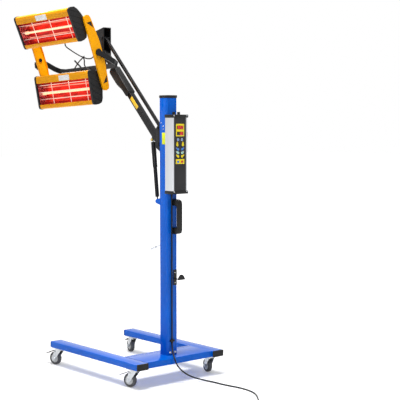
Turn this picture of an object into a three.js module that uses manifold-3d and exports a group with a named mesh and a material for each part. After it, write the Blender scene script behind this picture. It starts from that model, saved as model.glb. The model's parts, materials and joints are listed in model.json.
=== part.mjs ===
// Infrared paint curing lamp on a wheeled stand. Millimetres, +Z up.
// +X points along the cross box to the operator's right, +Y points forward along the legs.
// The origin is under the centre of the machine's bounding box, on the floor.
import * as THREE from 'three';
import { mergeVertices } from 'three/addons/utils/BufferGeometryUtils.js';
import Module from 'manifold-3d';

const wasm = await Module();
wasm.setup();

// Shared clearances and facet counts
const gap = 0.3;
const overrun = 2;
const turnedFacets = 20;
const smallFacets = 12;
const cornerFacets = 2;

// Wheeled base
const baseWidth = 600;
const legWidth = 75;
const legHeight = 35;
const legLength = 819;
const legRearReach = 112;
const tubeWall = 2.5;
const tubeCorner = 4;
const legCapThickness = 5;
const legCapSpigot = 15;
const legCapBorder = 5;
const legCapRecess = 1.5;
const crossDepth = 200;
const crossRearReach = 97;
const crossWall = 3;

// Castors
const castorHeight = 102;
const castorPlateLength = 72;
const castorPlateWidth = 68;
const castorPlateThickness = 2.5;
const frontCastorY = 665;
const rearCastorY = -45;
const castorTrail = 34;
const castorTurnOut = 14.4;
const wheelRadius = 37.5;
const wheelWidth = 26;
const wheelTreadRound = 4;
const hubRadius = 24;
const hubRecess = 3;
const axleRadius = 5;
const axleNutRadius = 9;
const axleNutThickness = 5;
const forkGap = 2;
const forkThickness = 2.5;
const forkHeadRadius = 22;
const forkHeadHeight = 9;
const forkBridgeHeight = 5;
const forkTipRadius = 11;
const pedalPivotX = 22;
const pedalPivotZ = 80;
const pedalPinRadius = 3;
const pedalReach = 98;
const pedalThickness = 3;
const pedalDrop = 22;

// Mast
const mastSize = 70;
const mastAboveBase = 1400;
const mastWall = 5;
const mastChamfer = 7;
const mastGrooveWidth = 3;
const mastGrooveDepth = 2.2;
const mastGrooveOffset = 22;
const mastCapHeight = 15;
const mastCapOverhang = 1;
const mastCapSpigot = 15;
const mastCapRound = 3;

// Push handle on the rear face of the mast
const handleX = 15;
const handleZ = 795;
const handleHeight = 186;
const handleWidth = 32;
const handleReach = 47;
const handleThickness = 13;
const handleFootHeight = 34;
const handleRound = 2.5;

// Cable hook on the rear face of the mast
const hookX = 16;
const hookZ = 517;
const hookPlateHeight = 82;
const hookPlateWidth = 24;
const hookThickness = 3;
const hookTongueZ = 550;
const hookReach = 54;
const hookTongueWidth = 18;
const hookEndWidth = 54;
const hookEndHeight = 30;

// Power lead held along the mast, and the clip where the free cord begins
const cordDiameter = 8;
const leadX = -8;
const leadClipZ = 212;
const leadClipHeight = 10;
const leadClipWidth = 26;
const leadClipWall = 3;
const cordBootLength = 12;
const cordBootWall = 2.6;
const cordBootTipWall = 0.8;

// Controller box
const controllerBottomZ = 1013;
const controllerHeight = 421;
const controllerWidth = 104;
const controllerDepth = 64.7;
const controllerCorner = 5;
const controllerWall = 4;
const controllerCapHeight = 16.5;
const controllerCapOverhang = 4;
const controllerCapSpigot = 8;
const controllerCapRound = 2.5;
const panelWidth = 82;
const panelRecess = 3;
const panelThickness = 2.6;
const glandRadius = 8;
const glandHeight = 14;
const glandSpacing = 34;
const switchZ = 1328;
const switchInset = 34;
const switchPlateSize = 48;
const switchPlateThickness = 5;
const switchPlateRound = 4;
const knobRadius = 16;
const knobDiscThickness = 6;
const knobGripWidth = 9;
const knobGripHeight = 13;
const knobShaftRadius = 4;
const knobShaftDepth = 4;

// Lifting arm, a parallelogram of a square tube and a thinner link above it
const armRootY = 60;
const armRootZ = 1273.4;
const armRise = 45.3;
const armLength = 715.8;
const armSize = 30;
const armWall = 2.5;
const armEndReach = 10;
const armPinRadius = 6;
const armBushWall = 3;
const linkSpacing = 88;
const linkSize = 15;
const linkWall = 2;
const linkEndReach = 6;
const linkPinRadius = 4;
const bracketBottomZ = 1232;
const bracketTopZ = 1396;
const bracketBackThickness = 4.7;
const bracketCheekThickness = 5;
const bracketReach = 52;
const pinHeadThickness = 5;
const pinHeadWall = 4;

// Gas strut between the mast and the lower arm
const strutFootY = 92;
const strutFootZ = 964;
const strutTopAlong = 66;
const strutTopDrop = 32;
const strutEyeRadius = 9;
const strutEyeWidth = 10;
const strutPinRadius = 4;
const strutCylinderRadius = 11;
const strutCylinderLength = 190;
const strutCylinderFrom = 24;
const strutBore = 9;
const strutBottomWall = 6;
const strutRodRadius = 4;
const strutRodDepth = 105;
const strutPistonRadius = 8.6;
const strutPistonLength = 10;
const lugThickness = 4;
const lugReachShare = 1.35;
const strutFootPlateHeight = 46;

// Cover round the lower arm
const coverFrom = 385;
const coverTo = 600;
const coverHalfWidth = 23;
const coverTopRise = 20;
const coverBelly = 33;
const coverNeck = 18.5;
const coverCorner = 8;
const coverRound = 3;

// Locking lever on the front of the mast
const lockLeverZ = 735;
const lockBlockHeight = 40;
const lockBlockWidth = 34;
const lockBlockDepth = 16;
const lockPivotReach = 10;
const lockPinRadius = 3;
const lockRodRadius = 3.2;
const lockRodLength = 62;
const lockGripRadius = 5.6;
const lockGripLength = 52;
const lockLeverFall = 20;
const lockSlotWidth = 9;

// End bracket at the top of the arm, with the upright pin of the head
const endBracketBottomZ = 1752;
const endBracketTopZ = 1930;
const endBracketTopFall = 17;
const endBracketRearY = 548;
const endBracketDepth = 77;
const endBracketHalfWidth = 26.5;
const endBracketThickness = 5;
const endBracketFloor = 8;
const endBracketFloorDepth = 54;
const swivelY = 594;
const swivelPinRadius = 12;
const swivelPinBottomZ = 1683;
const swivelPinHeadRadius = 17;
const swivelPinHeadHeight = 5;

// Swivel block that turns on the upright pin and carries the yoke's spindle
const blockRadius = 22;
const bridgeLeft = 16;
const bridgeRight = 12;
const bridgeReachY = 668;
const bridgeBottomZ = 1656;
const bridgeTopZ = 1710;
const spindleBossRadius = 17;
const spindleRadius = 8;
const spindleNutRadius = 13;
const spindleNutThickness = 6;
const brakePlateThickness = 4;
const brakePlateWidth = 33;
const brakePlateReach = 80;
const leverStudOffset = 62;
const leverStudRadius = 3;
const leverSlotAngle = 8.5;
const leverHubRadius = 9;
const leverHubLength = 16;
const leverNutRadius = 7.5;
const leverNutThickness = 5;
const leverHandleLength = 134;
const leverHandleRise = 34;
const leverHandleRadius = 5.2;

// Lamp head: where its pivot stands, and how it is turned in the rest pose
const headX = -212;
const headY = 630.4;
const headZ = 1762;
const headYaw = 7;
const headRoll = -3;
const headTilt = 17.9;
const upperCassetteTilt = 22.4;
const lowerCassetteTilt = 8.6;

// Yoke, a flat bar bent to a U
const yokeReach = 168;
const yokeDrop = 40.4;
const yokeBarWidth = 30;
const yokeBarThickness = 6;
const yokeBend = 42;
const yokeEndRadius = 20;
const yokePinRadius = 6;
const yokePinHeadRadius = 11;
const yokePinHeadThickness = 4;
const yokeWasher = 3;
const quadrantRadius = 37;
const quadrantSlotRadius = 28;
const quadrantSlotWidth = 9;
const quadrantFrom = -124;
const quadrantTo = -27;

// Side bars of the head
const barInner = 238;
const barDepth = 10;
const barWall = 2.5;
const barFront = 34;
const barBack = 34;
const barEndBack = 12;
const barHalfLength = 213;
const barEndRound = 21;
const barTaperFrom = 55;
const barPocketBottom = 128;
const barPocketInset = 5;
const cassettePivotBack = -12;
const cassettePivotUp = 186;
const cassettePinRadius = 5;
const cassetteBossRadius = 14;

// Friction knob on the left side bar
const frictionKnobRadius = 27.5;
const frictionKnobThickness = 14;
const frictionStudRadius = 4;
const frictionKnobAngle = -105;

// Lamp cassettes
const cassetteHalfLength = 234;
const cassetteCapThickness = 12;
const cassetteCapOverhang = 1.5;
const cassetteFront = 94;
const cassetteTop = 97;
const cassetteBottom = 93;
const cassetteTopBend = 45;
const cassetteRidge = 24;
const cassetteBack = 6;
const cassetteBottomBend = 28;
const cassetteSheet = 2;
const cassetteCorner = 15;
const cassetteBackCorner = 26;
const openingTop = 55;
const openingBottom = 67;
const capSpigotDepth = 6;
const ribCount = 11;
const ribWidth = 5;
const ribHeight = 1.6;
const ribLean = 32;
const reflectorSheet = 1.5;
const reflectorHalfLength = 216;
const reflectorDepth = 56;
const reflectorLip = 7;
const emitterRadius = 6.5;
const emitterHalfLength = 196;
const emitterBack = 58;
const emitterEndRadius = 9;
const emitterEndLength = 19;
const guardWireRadius = 1.6;
const guardSetback = 8;
const guardRows = [42, 3, -38];
const guardColumns = [102, -46, -188];

// Free cord: hand-chosen points of its route from the clip to the coil, in mast coordinates
const cordRoute = [
    [-8, -39.6, 199.7], [-8, -39.6, 193.7], [-8.4, -40.6, 185.8], [-10.7, -45, 172.8],
    [-15.3, -52.9, 162.3], [-21.6, -63.2, 155.2], [-28.4, -74.4, 150.5], [-35, -86, 146.3],
    [-40.8, -97.4, 140.5], [-45.1, -108.6, 130.1], [-44.4, -115.8, 116.1], [-38.2, -118.8, 101.7],
    [-28.9, -119.9, 88.8], [-18.4, -121.2, 76.8], [-7.4, -123.9, 65.5], [9.9, -130.7, 50.4],
    [28.4, -139.3, 37.8], [48, -148.4, 27.4], [68.4, -157.7, 18.9], [88.5, -168.9, 11.8],
    [105.4, -184.9, 6.8], [119.1, -224, 4.4], [121.6, -265.9, 4.3], [124.7, -307.7, 4.3],
    [130.9, -349.3, 4.3], [138.2, -390.6, 4.3], [142.1, -432.4, 4.3], [140.4, -474.3, 4.3],
    [132.8, -515.6, 4.3], [118.2, -554.9, 4.3], [97, -591.1, 4.3], [72.1, -624.9, 4.3],
    [45.6, -657.5, 4.3], [22.8, -692.8, 4.3], [6.2, -731.2, 4.3], [-3.3, -772.1, 4.3],
    [-5.5, -806, 4.3], [-5.5, -812, 4.3],
];
const cordSides = 8;
const cordSteps = 78;

// Coil of the spare cord
const coilLayers = 4;
const coilTurnsPerLayer = 2.9;
const coilInnerRadius = 34;
const coilPitch = 8.6;
const coilDip = 1.5;
const coilFloorLift = 0.3;
const coilStepsPerTurn = 24;
const coilSides = 6;
const coilTailLength = 60;

// Mains plug at the end of the cord
const plugRadius = 18.5;
const plugBodyLength = 34;
const plugNeckLength = 30;
const plugNeckRadius = 8;
const plugPinRadius = 2.4;
const plugPinLength = 19;
const plugPinSpacing = 19;

// Finishes
const finishes = {
    bluePaint: { color: 0x005cd7, roughness: 0.35, metalness: 0 },
    yellowPaint: { color: 0xf5aa0a, roughness: 0.4, metalness: 0 },
    blackPaint: { color: 0x191919, roughness: 0.5, metalness: 0 },
    blackPlastic: { color: 0x1b1b1b, roughness: 0.6, metalness: 0 },
    greyPanel: { color: 0x3a3a3a, roughness: 0.6, metalness: 0 },
    anodised: { color: 0xdcdce1, roughness: 0.35, metalness: 0.9 },
    zinc: { color: 0xbfc2c4, roughness: 0.35, metalness: 0.9 },
    chrome: { color: 0xd8dadc, roughness: 0.15, metalness: 1 },
    greyTyre: { color: 0x464646, roughness: 0.8, metalness: 0 },
    yellowPlastic: { color: 0xffd800, roughness: 0.5, metalness: 0 },
    redPlastic: { color: 0xc81e14, roughness: 0.45, metalness: 0 },
    reflector: { color: 0xe1140a, roughness: 0.3, metalness: 0.6 },
    quartz: { color: 0xffb070, roughness: 0.1, metalness: 0 },
    steelWire: { color: 0xe8e0d8, roughness: 0.3, metalness: 1 },
    blackRubber: { color: 0x202020, roughness: 0.8, metalness: 0 },
};

// Values worked out from the sizes above
const baseTop = castorHeight + legHeight;
const legX = (baseWidth - legWidth) / 2;
const mastHalf = mastSize / 2;
const mastFoot = baseTop + gap;
const mastTop = baseTop + mastAboveBase - mastCapHeight;
const mastFront = mastHalf + gap;
const leadY = -(mastHalf + gap + cordDiameter / 2);
const armAngle = THREE.MathUtils.degToRad(armRise);
const barOuter = barInner + barDepth;
const yokeArmInner = barOuter + yokeWasher;
const yokeArmOuter = yokeArmInner + yokeBarThickness;

// Shapes, solids and booleans
const axes = {
    x: [new THREE.Vector3(0, 1, 0), new THREE.Vector3(0, 0, 1), new THREE.Vector3(1, 0, 0)],
    y: [new THREE.Vector3(0, 0, 1), new THREE.Vector3(1, 0, 0), new THREE.Vector3(0, 1, 0)],
    z: [new THREE.Vector3(1, 0, 0), new THREE.Vector3(0, 1, 0), new THREE.Vector3(0, 0, 1)],
};

function toManifold(geometry) {
    const bare = geometry.clone();
    bare.deleteAttribute('normal');
    bare.deleteAttribute('uv');
    const merged = geometry.userData.closed ? bare : mergeVertices(bare);
    return new wasm.Manifold(new wasm.Mesh({
        numProp: 3,
        vertProperties: new Float32Array(merged.attributes.position.array),
        triVerts: new Uint32Array(merged.index.array),
    }));
}

function toGeometry(solid) {
    const mesh = solid.getMesh();
    const geometry = new THREE.BufferGeometry();
    geometry.setAttribute('position', new THREE.BufferAttribute(mesh.vertProperties, 3));
    geometry.setIndex(new THREE.BufferAttribute(mesh.triVerts, 1));
    geometry.userData.closed = true;
    return geometry;
}

function join(...geometries) {
    return toGeometry(geometries.map(toManifold).reduce((all, next) => all.add(next)));
}

function cut(geometry, ...cutters) {
    return toGeometry(cutters.map(toManifold).reduce((all, next) => all.subtract(next), toManifold(geometry)));
}

function common(a, b) {
    return toGeometry(toManifold(a).intersect(toManifold(b)));
}

// A profile drawn across an axis, pulled along it from one place to another.
// Across x it is drawn in (y, z), across y in (z, x) and across z in (x, y).
function pull(axis, shape, from, to) {
    const geometry = new THREE.ExtrudeGeometry(shape, {
        depth: to - from, bevelEnabled: false, curveSegments: cornerFacets,
    });
    geometry.translate(0, 0, from);
    return geometry.applyMatrix4(new THREE.Matrix4().makeBasis(...axes[axis]));
}

// The same with its end edges rounded over
function pullRounded(axis, shape, from, to, round) {
    const geometry = new THREE.ExtrudeGeometry(shape, {
        depth: to - from - 2 * round, bevelEnabled: true, bevelThickness: round, bevelSize: round,
        bevelOffset: -round, bevelSegments: 2, curveSegments: cornerFacets,
    });
    geometry.translate(0, 0, from + round);
    return geometry.applyMatrix4(new THREE.Matrix4().makeBasis(...axes[axis]));
}

// A turned rod along an axis, with its centre given in the profile's own order
function rod(axis, radius, from, to, centre = [0, 0], facets = turnedFacets) {
    const geometry = new THREE.CylinderGeometry(radius, radius, to - from, facets);
    geometry.rotateX(Math.PI / 2);
    geometry.translate(centre[0], centre[1], (from + to) / 2);
    return geometry.applyMatrix4(new THREE.Matrix4().makeBasis(...axes[axis]));
}

function box(x, y, z) {
    const geometry = new THREE.BoxGeometry(x[1] - x[0], y[1] - y[0], z[1] - z[0]);
    return geometry.translate((x[0] + x[1]) / 2, (y[0] + y[1]) / 2, (z[0] + z[1]) / 2);
}

// Points with any that repeat the one before left out
function withoutRepeats(points) {
    return points.filter((point, i) => point.distanceTo(points[(i + points.length - 1) % points.length]) > gap / 100);
}

// A closed outline with its corners rounded, from points of (across, up, round)
function outline(corners) {
    const points = [];
    const count = corners.length;
    corners.forEach(([x, y, round = 0], i) => {
        const here = new THREE.Vector2(x, y);
        const before = new THREE.Vector2(...corners[(i + count - 1) % count].slice(0, 2));
        const after = new THREE.Vector2(...corners[(i + 1) % count].slice(0, 2));
        const limit = Math.min(before.distanceTo(here), after.distanceTo(here)) / 2;
        const reach = Math.min(round, limit);
        const start = here.clone().add(before.sub(here).setLength(reach));
        const end = here.clone().add(after.sub(here).setLength(reach));
        new THREE.QuadraticBezierCurve(start, here, end).getPoints(cornerFacets)
            .forEach((point) => points.push(reach > 0 ? point : here));
    });
    return new THREE.Shape(withoutRepeats(points));
}

// Corners with every side moved outwards by a distance, or inwards where it is negative
function grown(corners, by) {
    const count = corners.length;
    const sides = corners.map(([x, y], i) => {
        const [nextX, nextY] = corners[(i + 1) % count];
        const normal = new THREE.Vector2(nextY - y, x - nextX).normalize();
        return { normal, reach: normal.x * x + normal.y * y + by };
    });
    return corners.map(([, , round = 0], i) => {
        const before = sides[(i + count - 1) % count];
        const after = sides[i];
        const scale = before.normal.cross(after.normal);
        return [
            (before.reach * after.normal.y - after.reach * before.normal.y) / scale,
            (after.reach * before.normal.x - before.reach * after.normal.x) / scale,
            Math.max(round + by, 0),
        ];
    });
}

function rectangle(width, height, round, centre = [0, 0]) {
    const [x, y] = centre;
    const w = width / 2;
    const h = height / 2;
    return outline([
        [x - w, y - h, round], [x + w, y - h, round], [x + w, y + h, round], [x - w, y + h, round],
    ]);
}

function withHole(shape, hole) {
    shape.holes.push(hole);
    return shape;
}

// A rod between two points in space
function strutBetween(a, b, radius, facets = smallFacets) {
    const geometry = new THREE.CylinderGeometry(radius, radius, a.distanceTo(b), facets);
    const turn = new THREE.Quaternion().setFromUnitVectors(
        new THREE.Vector3(0, 1, 0), b.clone().sub(a).normalize());
    geometry.applyQuaternion(turn);
    const middle = a.clone().add(b).multiplyScalar(0.5);
    return geometry.translate(middle.x, middle.y, middle.z);
}

function piece(group, name, geometry, finish) {
    const mesh = new THREE.Mesh(geometry, new THREE.MeshStandardMaterial(finishes[finish]));
    mesh.name = name;
    group.add(mesh);
    return mesh;
}

const machine = new THREE.Group();
const cords = new THREE.Group();

// Legs: a flat rectangular tube with two castor plates under it
function leg(x) {
    const rear = -legRearReach + legCapThickness + gap;
    const front = -legRearReach + legLength - legCapThickness - gap;
    const tube = withHole(
        rectangle(legHeight, legWidth, tubeCorner, [castorHeight + legHeight / 2, x]),
        rectangle(legHeight - 2 * tubeWall, legWidth - 2 * tubeWall, tubeCorner - tubeWall,
            [castorHeight + legHeight / 2, x]));
    const plates = [frontCastorY, rearCastorY].map((y) => box(
        [x - castorPlateWidth / 2, x + castorPlateWidth / 2],
        [y - castorPlateLength / 2, y + castorPlateLength / 2],
        [castorHeight - castorPlateThickness, castorHeight + tubeWall / 2]));
    return join(pull('y', tube, rear, front), ...plates);
}

// Plastic end plug of a leg, drawn facing +Y from the tube's mouth
function legCap(x, facing) {
    const face = facing > 0 ? legLength - legRearReach : -legRearReach;
    const from = Math.min(face, face - facing * legCapThickness);
    const centre = [castorHeight + legHeight / 2, x];
    const plate = pull('y', rectangle(legHeight, legWidth, tubeCorner, centre), from, from + legCapThickness);
    const inside = face - facing * legCapThickness;
    const tip = inside - facing * (legCapSpigot + gap);
    const fit = 2 * (tubeWall + gap);
    const spigot = pull('y', rectangle(legHeight - fit, legWidth - fit, tubeCorner / 2, centre),
        Math.min(tip, inside + facing * legCapRecess), Math.max(tip, inside + facing * legCapRecess));
    const recessEnd = face - facing * legCapRecess;
    const border = 2 * legCapBorder;
    const recess = pull('y', rectangle(legHeight - border, legWidth - border, tubeCorner / 2, centre),
        Math.min(recessEnd, face + facing * overrun), Math.max(recessEnd, face + facing * overrun));
    return cut(join(plate, spigot), recess);
}

function crossBox() {
    const centre = [crossDepth / 2 - crossRearReach, castorHeight + legHeight / 2];
    const reach = legX - legWidth / 2 - gap;
    const profile = withHole(
        rectangle(crossDepth, legHeight, tubeCorner, centre),
        rectangle(crossDepth - 2 * crossWall, legHeight - 2 * crossWall, tubeCorner - crossWall, centre));
    return pull('x', profile, -reach, reach);
}

piece(machine, 'left_leg', leg(-legX), 'bluePaint');
piece(machine, 'right_leg', leg(legX), 'bluePaint');
piece(machine, 'cross_box', crossBox(), 'bluePaint');
for (const [side, x] of [['left', -legX], ['right', legX]]) {
    piece(machine, `front_${side}_leg_cap`, legCap(x, 1), 'blackPlastic');
    piece(machine, `rear_${side}_leg_cap`, legCap(x, -1), 'blackPlastic');
}

// Castor fork, drawn with its swivel axis on z and the wheel trailing along +x
function castorFork(braked) {
    const top = castorHeight - castorPlateThickness - gap;
    const head = rod('z', forkHeadRadius, top - forkHeadHeight, top);
    const inner = wheelWidth / 2 + forkGap;
    const outer = inner + forkThickness;
    const bridgeTop = top - forkHeadHeight + forkBridgeHeight / 2;
    const bridge = pull('z', rectangle(2 * forkHeadRadius, 2 * outer, forkBridgeHeight),
        bridgeTop - forkBridgeHeight, bridgeTop);
    const cheek = outline([
        [bridgeTop, -forkHeadRadius, tubeCorner], [bridgeTop, forkHeadRadius, tubeCorner],
        [pedalPivotZ - pedalPinRadius, pedalPivotX + forkTipRadius, tubeCorner],
        [wheelRadius, castorTrail + forkTipRadius, forkTipRadius],
        [wheelRadius - forkTipRadius, castorTrail + forkTipRadius / 2, forkTipRadius],
        [wheelRadius - forkTipRadius, castorTrail - forkTipRadius, forkTipRadius],
        [wheelRadius + forkTipRadius, castorTrail - 2 * forkTipRadius, forkTipRadius],
    ]);
    const cheeks = [pull('y', cheek, inner, outer), pull('y', cheek, -outer, -inner)];
    const axle = rod('y', axleRadius, -outer - axleNutThickness, outer + axleNutThickness,
        [wheelRadius, castorTrail], smallFacets);
    const nuts = [1, -1].map((side) => rod('y', axleNutRadius,
        Math.min(side * outer, side * (outer + axleNutThickness)),
        Math.max(side * outer, side * (outer + axleNutThickness)), [wheelRadius, castorTrail], 6));
    const fork = join(head, bridge, ...cheeks, axle, ...nuts);
    if (!braked) return fork;
    return cut(fork, rod('y', pedalPinRadius + gap, -outer - overrun, outer + overrun,
        [pedalPivotZ, pedalPivotX], smallFacets));
}

// Wheel: a tyre with rounded edges on a dished hub, bored for the axle, standing on one of its facets
function castorWheel() {
    const half = wheelWidth / 2;
    const tread = wheelRadius / Math.cos(Math.PI / turnedFacets);
    const bore = axleRadius + gap;
    const profile = [
        [bore, -half], [axleNutRadius, -half], [axleNutRadius + hubRecess, -half + hubRecess],
        [hubRadius, -half + hubRecess], [hubRadius + hubRecess, -half + overrun / 2],
        [tread - wheelTreadRound, -half + overrun / 2], [tread - overrun / 2, -half + wheelTreadRound],
        [tread, -half + 2 * wheelTreadRound], [tread, half - 2 * wheelTreadRound],
        [tread - overrun / 2, half - wheelTreadRound], [tread - wheelTreadRound, half - overrun / 2],
        [hubRadius + hubRecess, half - overrun / 2], [hubRadius, half - hubRecess],
        [axleNutRadius + hubRecess, half - hubRecess], [axleNutRadius, half], [bore, half], [bore, -half],
    ].map(([r, along]) => new THREE.Vector2(r, along));
    const wheel = new THREE.LatheGeometry(profile, turnedFacets, Math.PI / turnedFacets);
    return wheel.translate(castorTrail, 0, wheelRadius);
}

// Brake pedal: a bent plate over the wheel, on a pin in the fork's cheeks
function brakePedal() {
    const half = wheelWidth / 2 + forkGap - gap;
    const z = pedalPivotZ;
    const plate = outline([
        [z + pedalPinRadius, pedalPivotX - pedalPinRadius, pedalThickness],
        [z + pedalPinRadius, pedalPivotX + forkHeadRadius, pedalThickness],
        [z - pedalDrop + pedalThickness, pedalReach, pedalThickness],
        [z - pedalDrop, pedalReach - pedalThickness, pedalThickness],
        [z, pedalPivotX + forkHeadRadius, pedalThickness],
        [z - pedalPinRadius / 2, pedalPivotX - pedalPinRadius, pedalThickness],
    ]);
    const pin = rod('y', pedalPinRadius, -half - forkThickness, half + forkThickness,
        [z, pedalPivotX], smallFacets);
    return join(pull('y', plate, -half, half), pin);
}

const castorPlaces = [
    ['front_left', -legX, frontCastorY, true], ['front_right', legX, frontCastorY, true],
    ['rear_left', -legX, rearCastorY, true], ['rear_right', legX, rearCastorY, false],
];
for (const [name, x, y, braked] of castorPlaces) {
    const castor = new THREE.Group();
    castor.position.set(x, y, 0);
    castor.rotation.z = THREE.MathUtils.degToRad(90 - Math.sign(x) * castorTurnOut);
    machine.add(castor);
    piece(castor, `${name}_fork`, castorFork(braked), 'zinc');
    piece(castor, `${name}_wheel`, castorWheel(), 'greyTyre');
    if (braked) piece(castor, `${name}_brake_pedal`, brakePedal(), 'blackPlastic');
}

// Mast: a hollow profile with chamfered corners and two fine grooves on each face
function mastProfile() {
    const h = mastHalf;
    const face = [
        [-h + mastChamfer, 0], [-mastGrooveOffset - mastGrooveWidth / 2, 0],
        [-mastGrooveOffset, mastGrooveDepth], [-mastGrooveOffset + mastGrooveWidth / 2, 0],
        [mastGrooveOffset - mastGrooveWidth / 2, 0], [mastGrooveOffset, mastGrooveDepth],
        [mastGrooveOffset + mastGrooveWidth / 2, 0], [h - mastChamfer, 0],
    ];
    const points = [0, 1, 2, 3].flatMap((quarter) => face.map(([along, depth]) => {
        const spot = new THREE.Vector2(along, -h + depth);
        return spot.rotateAround(new THREE.Vector2(), quarter * Math.PI / 2);
    }));
    const inner = mastSize - 2 * mastWall;
    return withHole(new THREE.Shape(points), rectangle(inner, inner, mastChamfer / 2));
}

// Foot of the gas strut, welded to the mast's front face
function strutFoot() {
    const root = mastHalf - mastWall / 2;
    const face = mastFront + bracketBackThickness;
    const inner = strutEyeWidth / 2 + gap;
    const lug = outline([
        [root, strutFootZ - strutFootPlateHeight / 2, 0],
        [face, strutFootZ - strutFootPlateHeight / 2, 0],
        [strutFootY + strutEyeRadius, strutFootZ - strutEyeRadius, strutEyeRadius],
        [strutFootY + strutEyeRadius, strutFootZ + strutEyeRadius, strutEyeRadius],
        [face, strutFootZ + strutFootPlateHeight / 2, 0],
        [root, strutFootZ + strutFootPlateHeight / 2, 0],
    ]);
    const half = strutFootPlateHeight / 2;
    return join(
        box([-half, half], [root, face], [strutFootZ - half, strutFootZ + half]),
        pull('x', lug, inner, inner + lugThickness), pull('x', lug, -inner - lugThickness, -inner),
        rod('x', strutPinRadius, -inner - lugThickness - gap, inner + lugThickness + gap,
            [strutFootY, strutFootZ], smallFacets));
}

function mastCap() {
    const side = mastSize + 2 * mastCapOverhang;
    const fit = mastSize - 2 * (mastWall + gap);
    return join(
        pullRounded('z', rectangle(side, side, mastChamfer), mastTop + gap, mastTop + mastCapHeight, mastCapRound),
        pull('z', rectangle(fit, fit, mastChamfer / 2), mastTop - mastCapSpigot, mastTop + mastCapHeight / 2));
}

piece(machine, 'mast', join(pull('z', mastProfile(), mastFoot, mastTop), strutFoot()), 'bluePaint');
piece(machine, 'mast_cap', mastCap(), 'blackPlastic');

// Bow handle on the rear face, drawn from the side in (y, z)
function pushHandle() {
    const wall = -mastFront;
    const out = wall - handleReach;
    const inside = out + handleThickness;
    const corner = handleReach / 2;
    const top = handleZ + handleHeight;
    const bow = outline([
        [wall, handleZ, 0], [wall, handleZ + handleFootHeight, 0],
        [inside, handleZ + handleFootHeight, corner / 2], [inside, top - handleFootHeight, corner / 2],
        [wall, top - handleFootHeight, 0], [wall, top, 0], [out, top, corner], [out, handleZ, corner],
    ].reverse());
    return pullRounded('x', bow, handleX - handleWidth / 2, handleX + handleWidth / 2, handleRound);
}

// Hook plate, tongue and half-round keeper for the wound-up cord
function cableHook() {
    const wall = -mastFront;
    const plate = box([hookX - hookPlateWidth / 2, hookX + hookPlateWidth / 2],
        [wall - hookThickness, wall], [hookZ, hookZ + hookPlateHeight]);
    const tongue = box([hookX - hookTongueWidth / 2, hookX + hookTongueWidth / 2],
        [wall - hookReach, wall - hookThickness / 2], [hookTongueZ, hookTongueZ + hookThickness]);
    const keeper = pull('y', outline([
        [hookTongueZ, hookX - hookEndWidth / 2, hookThickness],
        [hookTongueZ + hookEndHeight, hookX - hookEndWidth / 4, hookEndWidth / 4],
        [hookTongueZ + hookEndHeight, hookX + hookEndWidth / 4, hookEndWidth / 4],
        [hookTongueZ, hookX + hookEndWidth / 2, hookThickness],
    ]), wall - hookReach - hookThickness, wall - hookReach + hookThickness / 2);
    return join(plate, tongue, keeper);
}

piece(machine, 'push_handle', pushHandle(), 'blackPlastic');
piece(machine, 'cable_hook', cableHook(), 'blackPaint');

// Power lead down the mast and the clip with its tapered boot
const leadTop = controllerBottomZ - gap;

function leadClip() {
    const y = leadY;
    const radius = cordDiameter / 2 + gap;
    const block = box([leadX - leadClipWidth / 2, leadX + leadClipWidth / 2],
        [y - radius - leadClipWall, -mastFront], [leadClipZ, leadClipZ + leadClipHeight]);
    const boot = new THREE.CylinderGeometry(radius + cordBootWall, radius + cordBootTipWall,
        cordBootLength, smallFacets);
    boot.rotateX(Math.PI / 2);
    boot.translate(leadX, y, leadClipZ - cordBootLength / 2 + gap);
    const bootTip = rod('z', radius + cordBootTipWall, leadClipZ - cordBootLength, leadClipZ, [leadX, y], smallFacets);
    const bore = rod('z', radius, leadClipZ - cordBootLength - overrun, leadClipZ + leadClipHeight + overrun,
        [leadX, y], smallFacets);
    const wallCut = box([leadX - radius - leadClipWall, leadX + radius + leadClipWall],
        [-mastFront, -mastHalf + radius], [leadClipZ - cordBootLength - overrun, leadClipZ + overrun]);
    return cut(join(block, boot, bootTip), bore, wallCut);
}

piece(machine, 'mast_lead', rod('z', cordDiameter / 2, leadClipZ - cordBootLength, leadTop, [leadX, leadY], smallFacets),
    'blackRubber');
piece(machine, 'cord_clip', leadClip(), 'blackPlastic');

// Controller: an extruded case with a sunk front panel between two plastic end caps
const controllerTop = controllerBottomZ + controllerHeight;
const caseBottom = controllerBottomZ + controllerCapHeight + gap;
const caseTop = controllerTop - controllerCapHeight - gap;
const caseCentreY = -mastFront - controllerDepth / 2;
const caseFront = -mastFront - controllerDepth;

function controllerCase() {
    const body = rectangle(controllerWidth, controllerDepth, controllerCorner, [0, caseCentreY]);
    const shell = withHole(body, rectangle(controllerWidth - 2 * controllerWall,
        controllerDepth - 2 * controllerWall - panelRecess, controllerCorner,
        [0, caseCentreY + panelRecess / 2]));
    const sunk = box([-panelWidth / 2 - gap, panelWidth / 2 + gap], [caseFront - overrun, caseFront + panelRecess],
        [caseBottom - overrun, caseTop + overrun]);
    const shaft = rod('x', knobShaftRadius + gap, controllerWidth / 2 - controllerWall - overrun,
        controllerWidth / 2 + overrun, [switchY, switchZ], smallFacets);
    return cut(pull('z', shell, caseBottom, caseTop), sunk, shaft);
}

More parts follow.
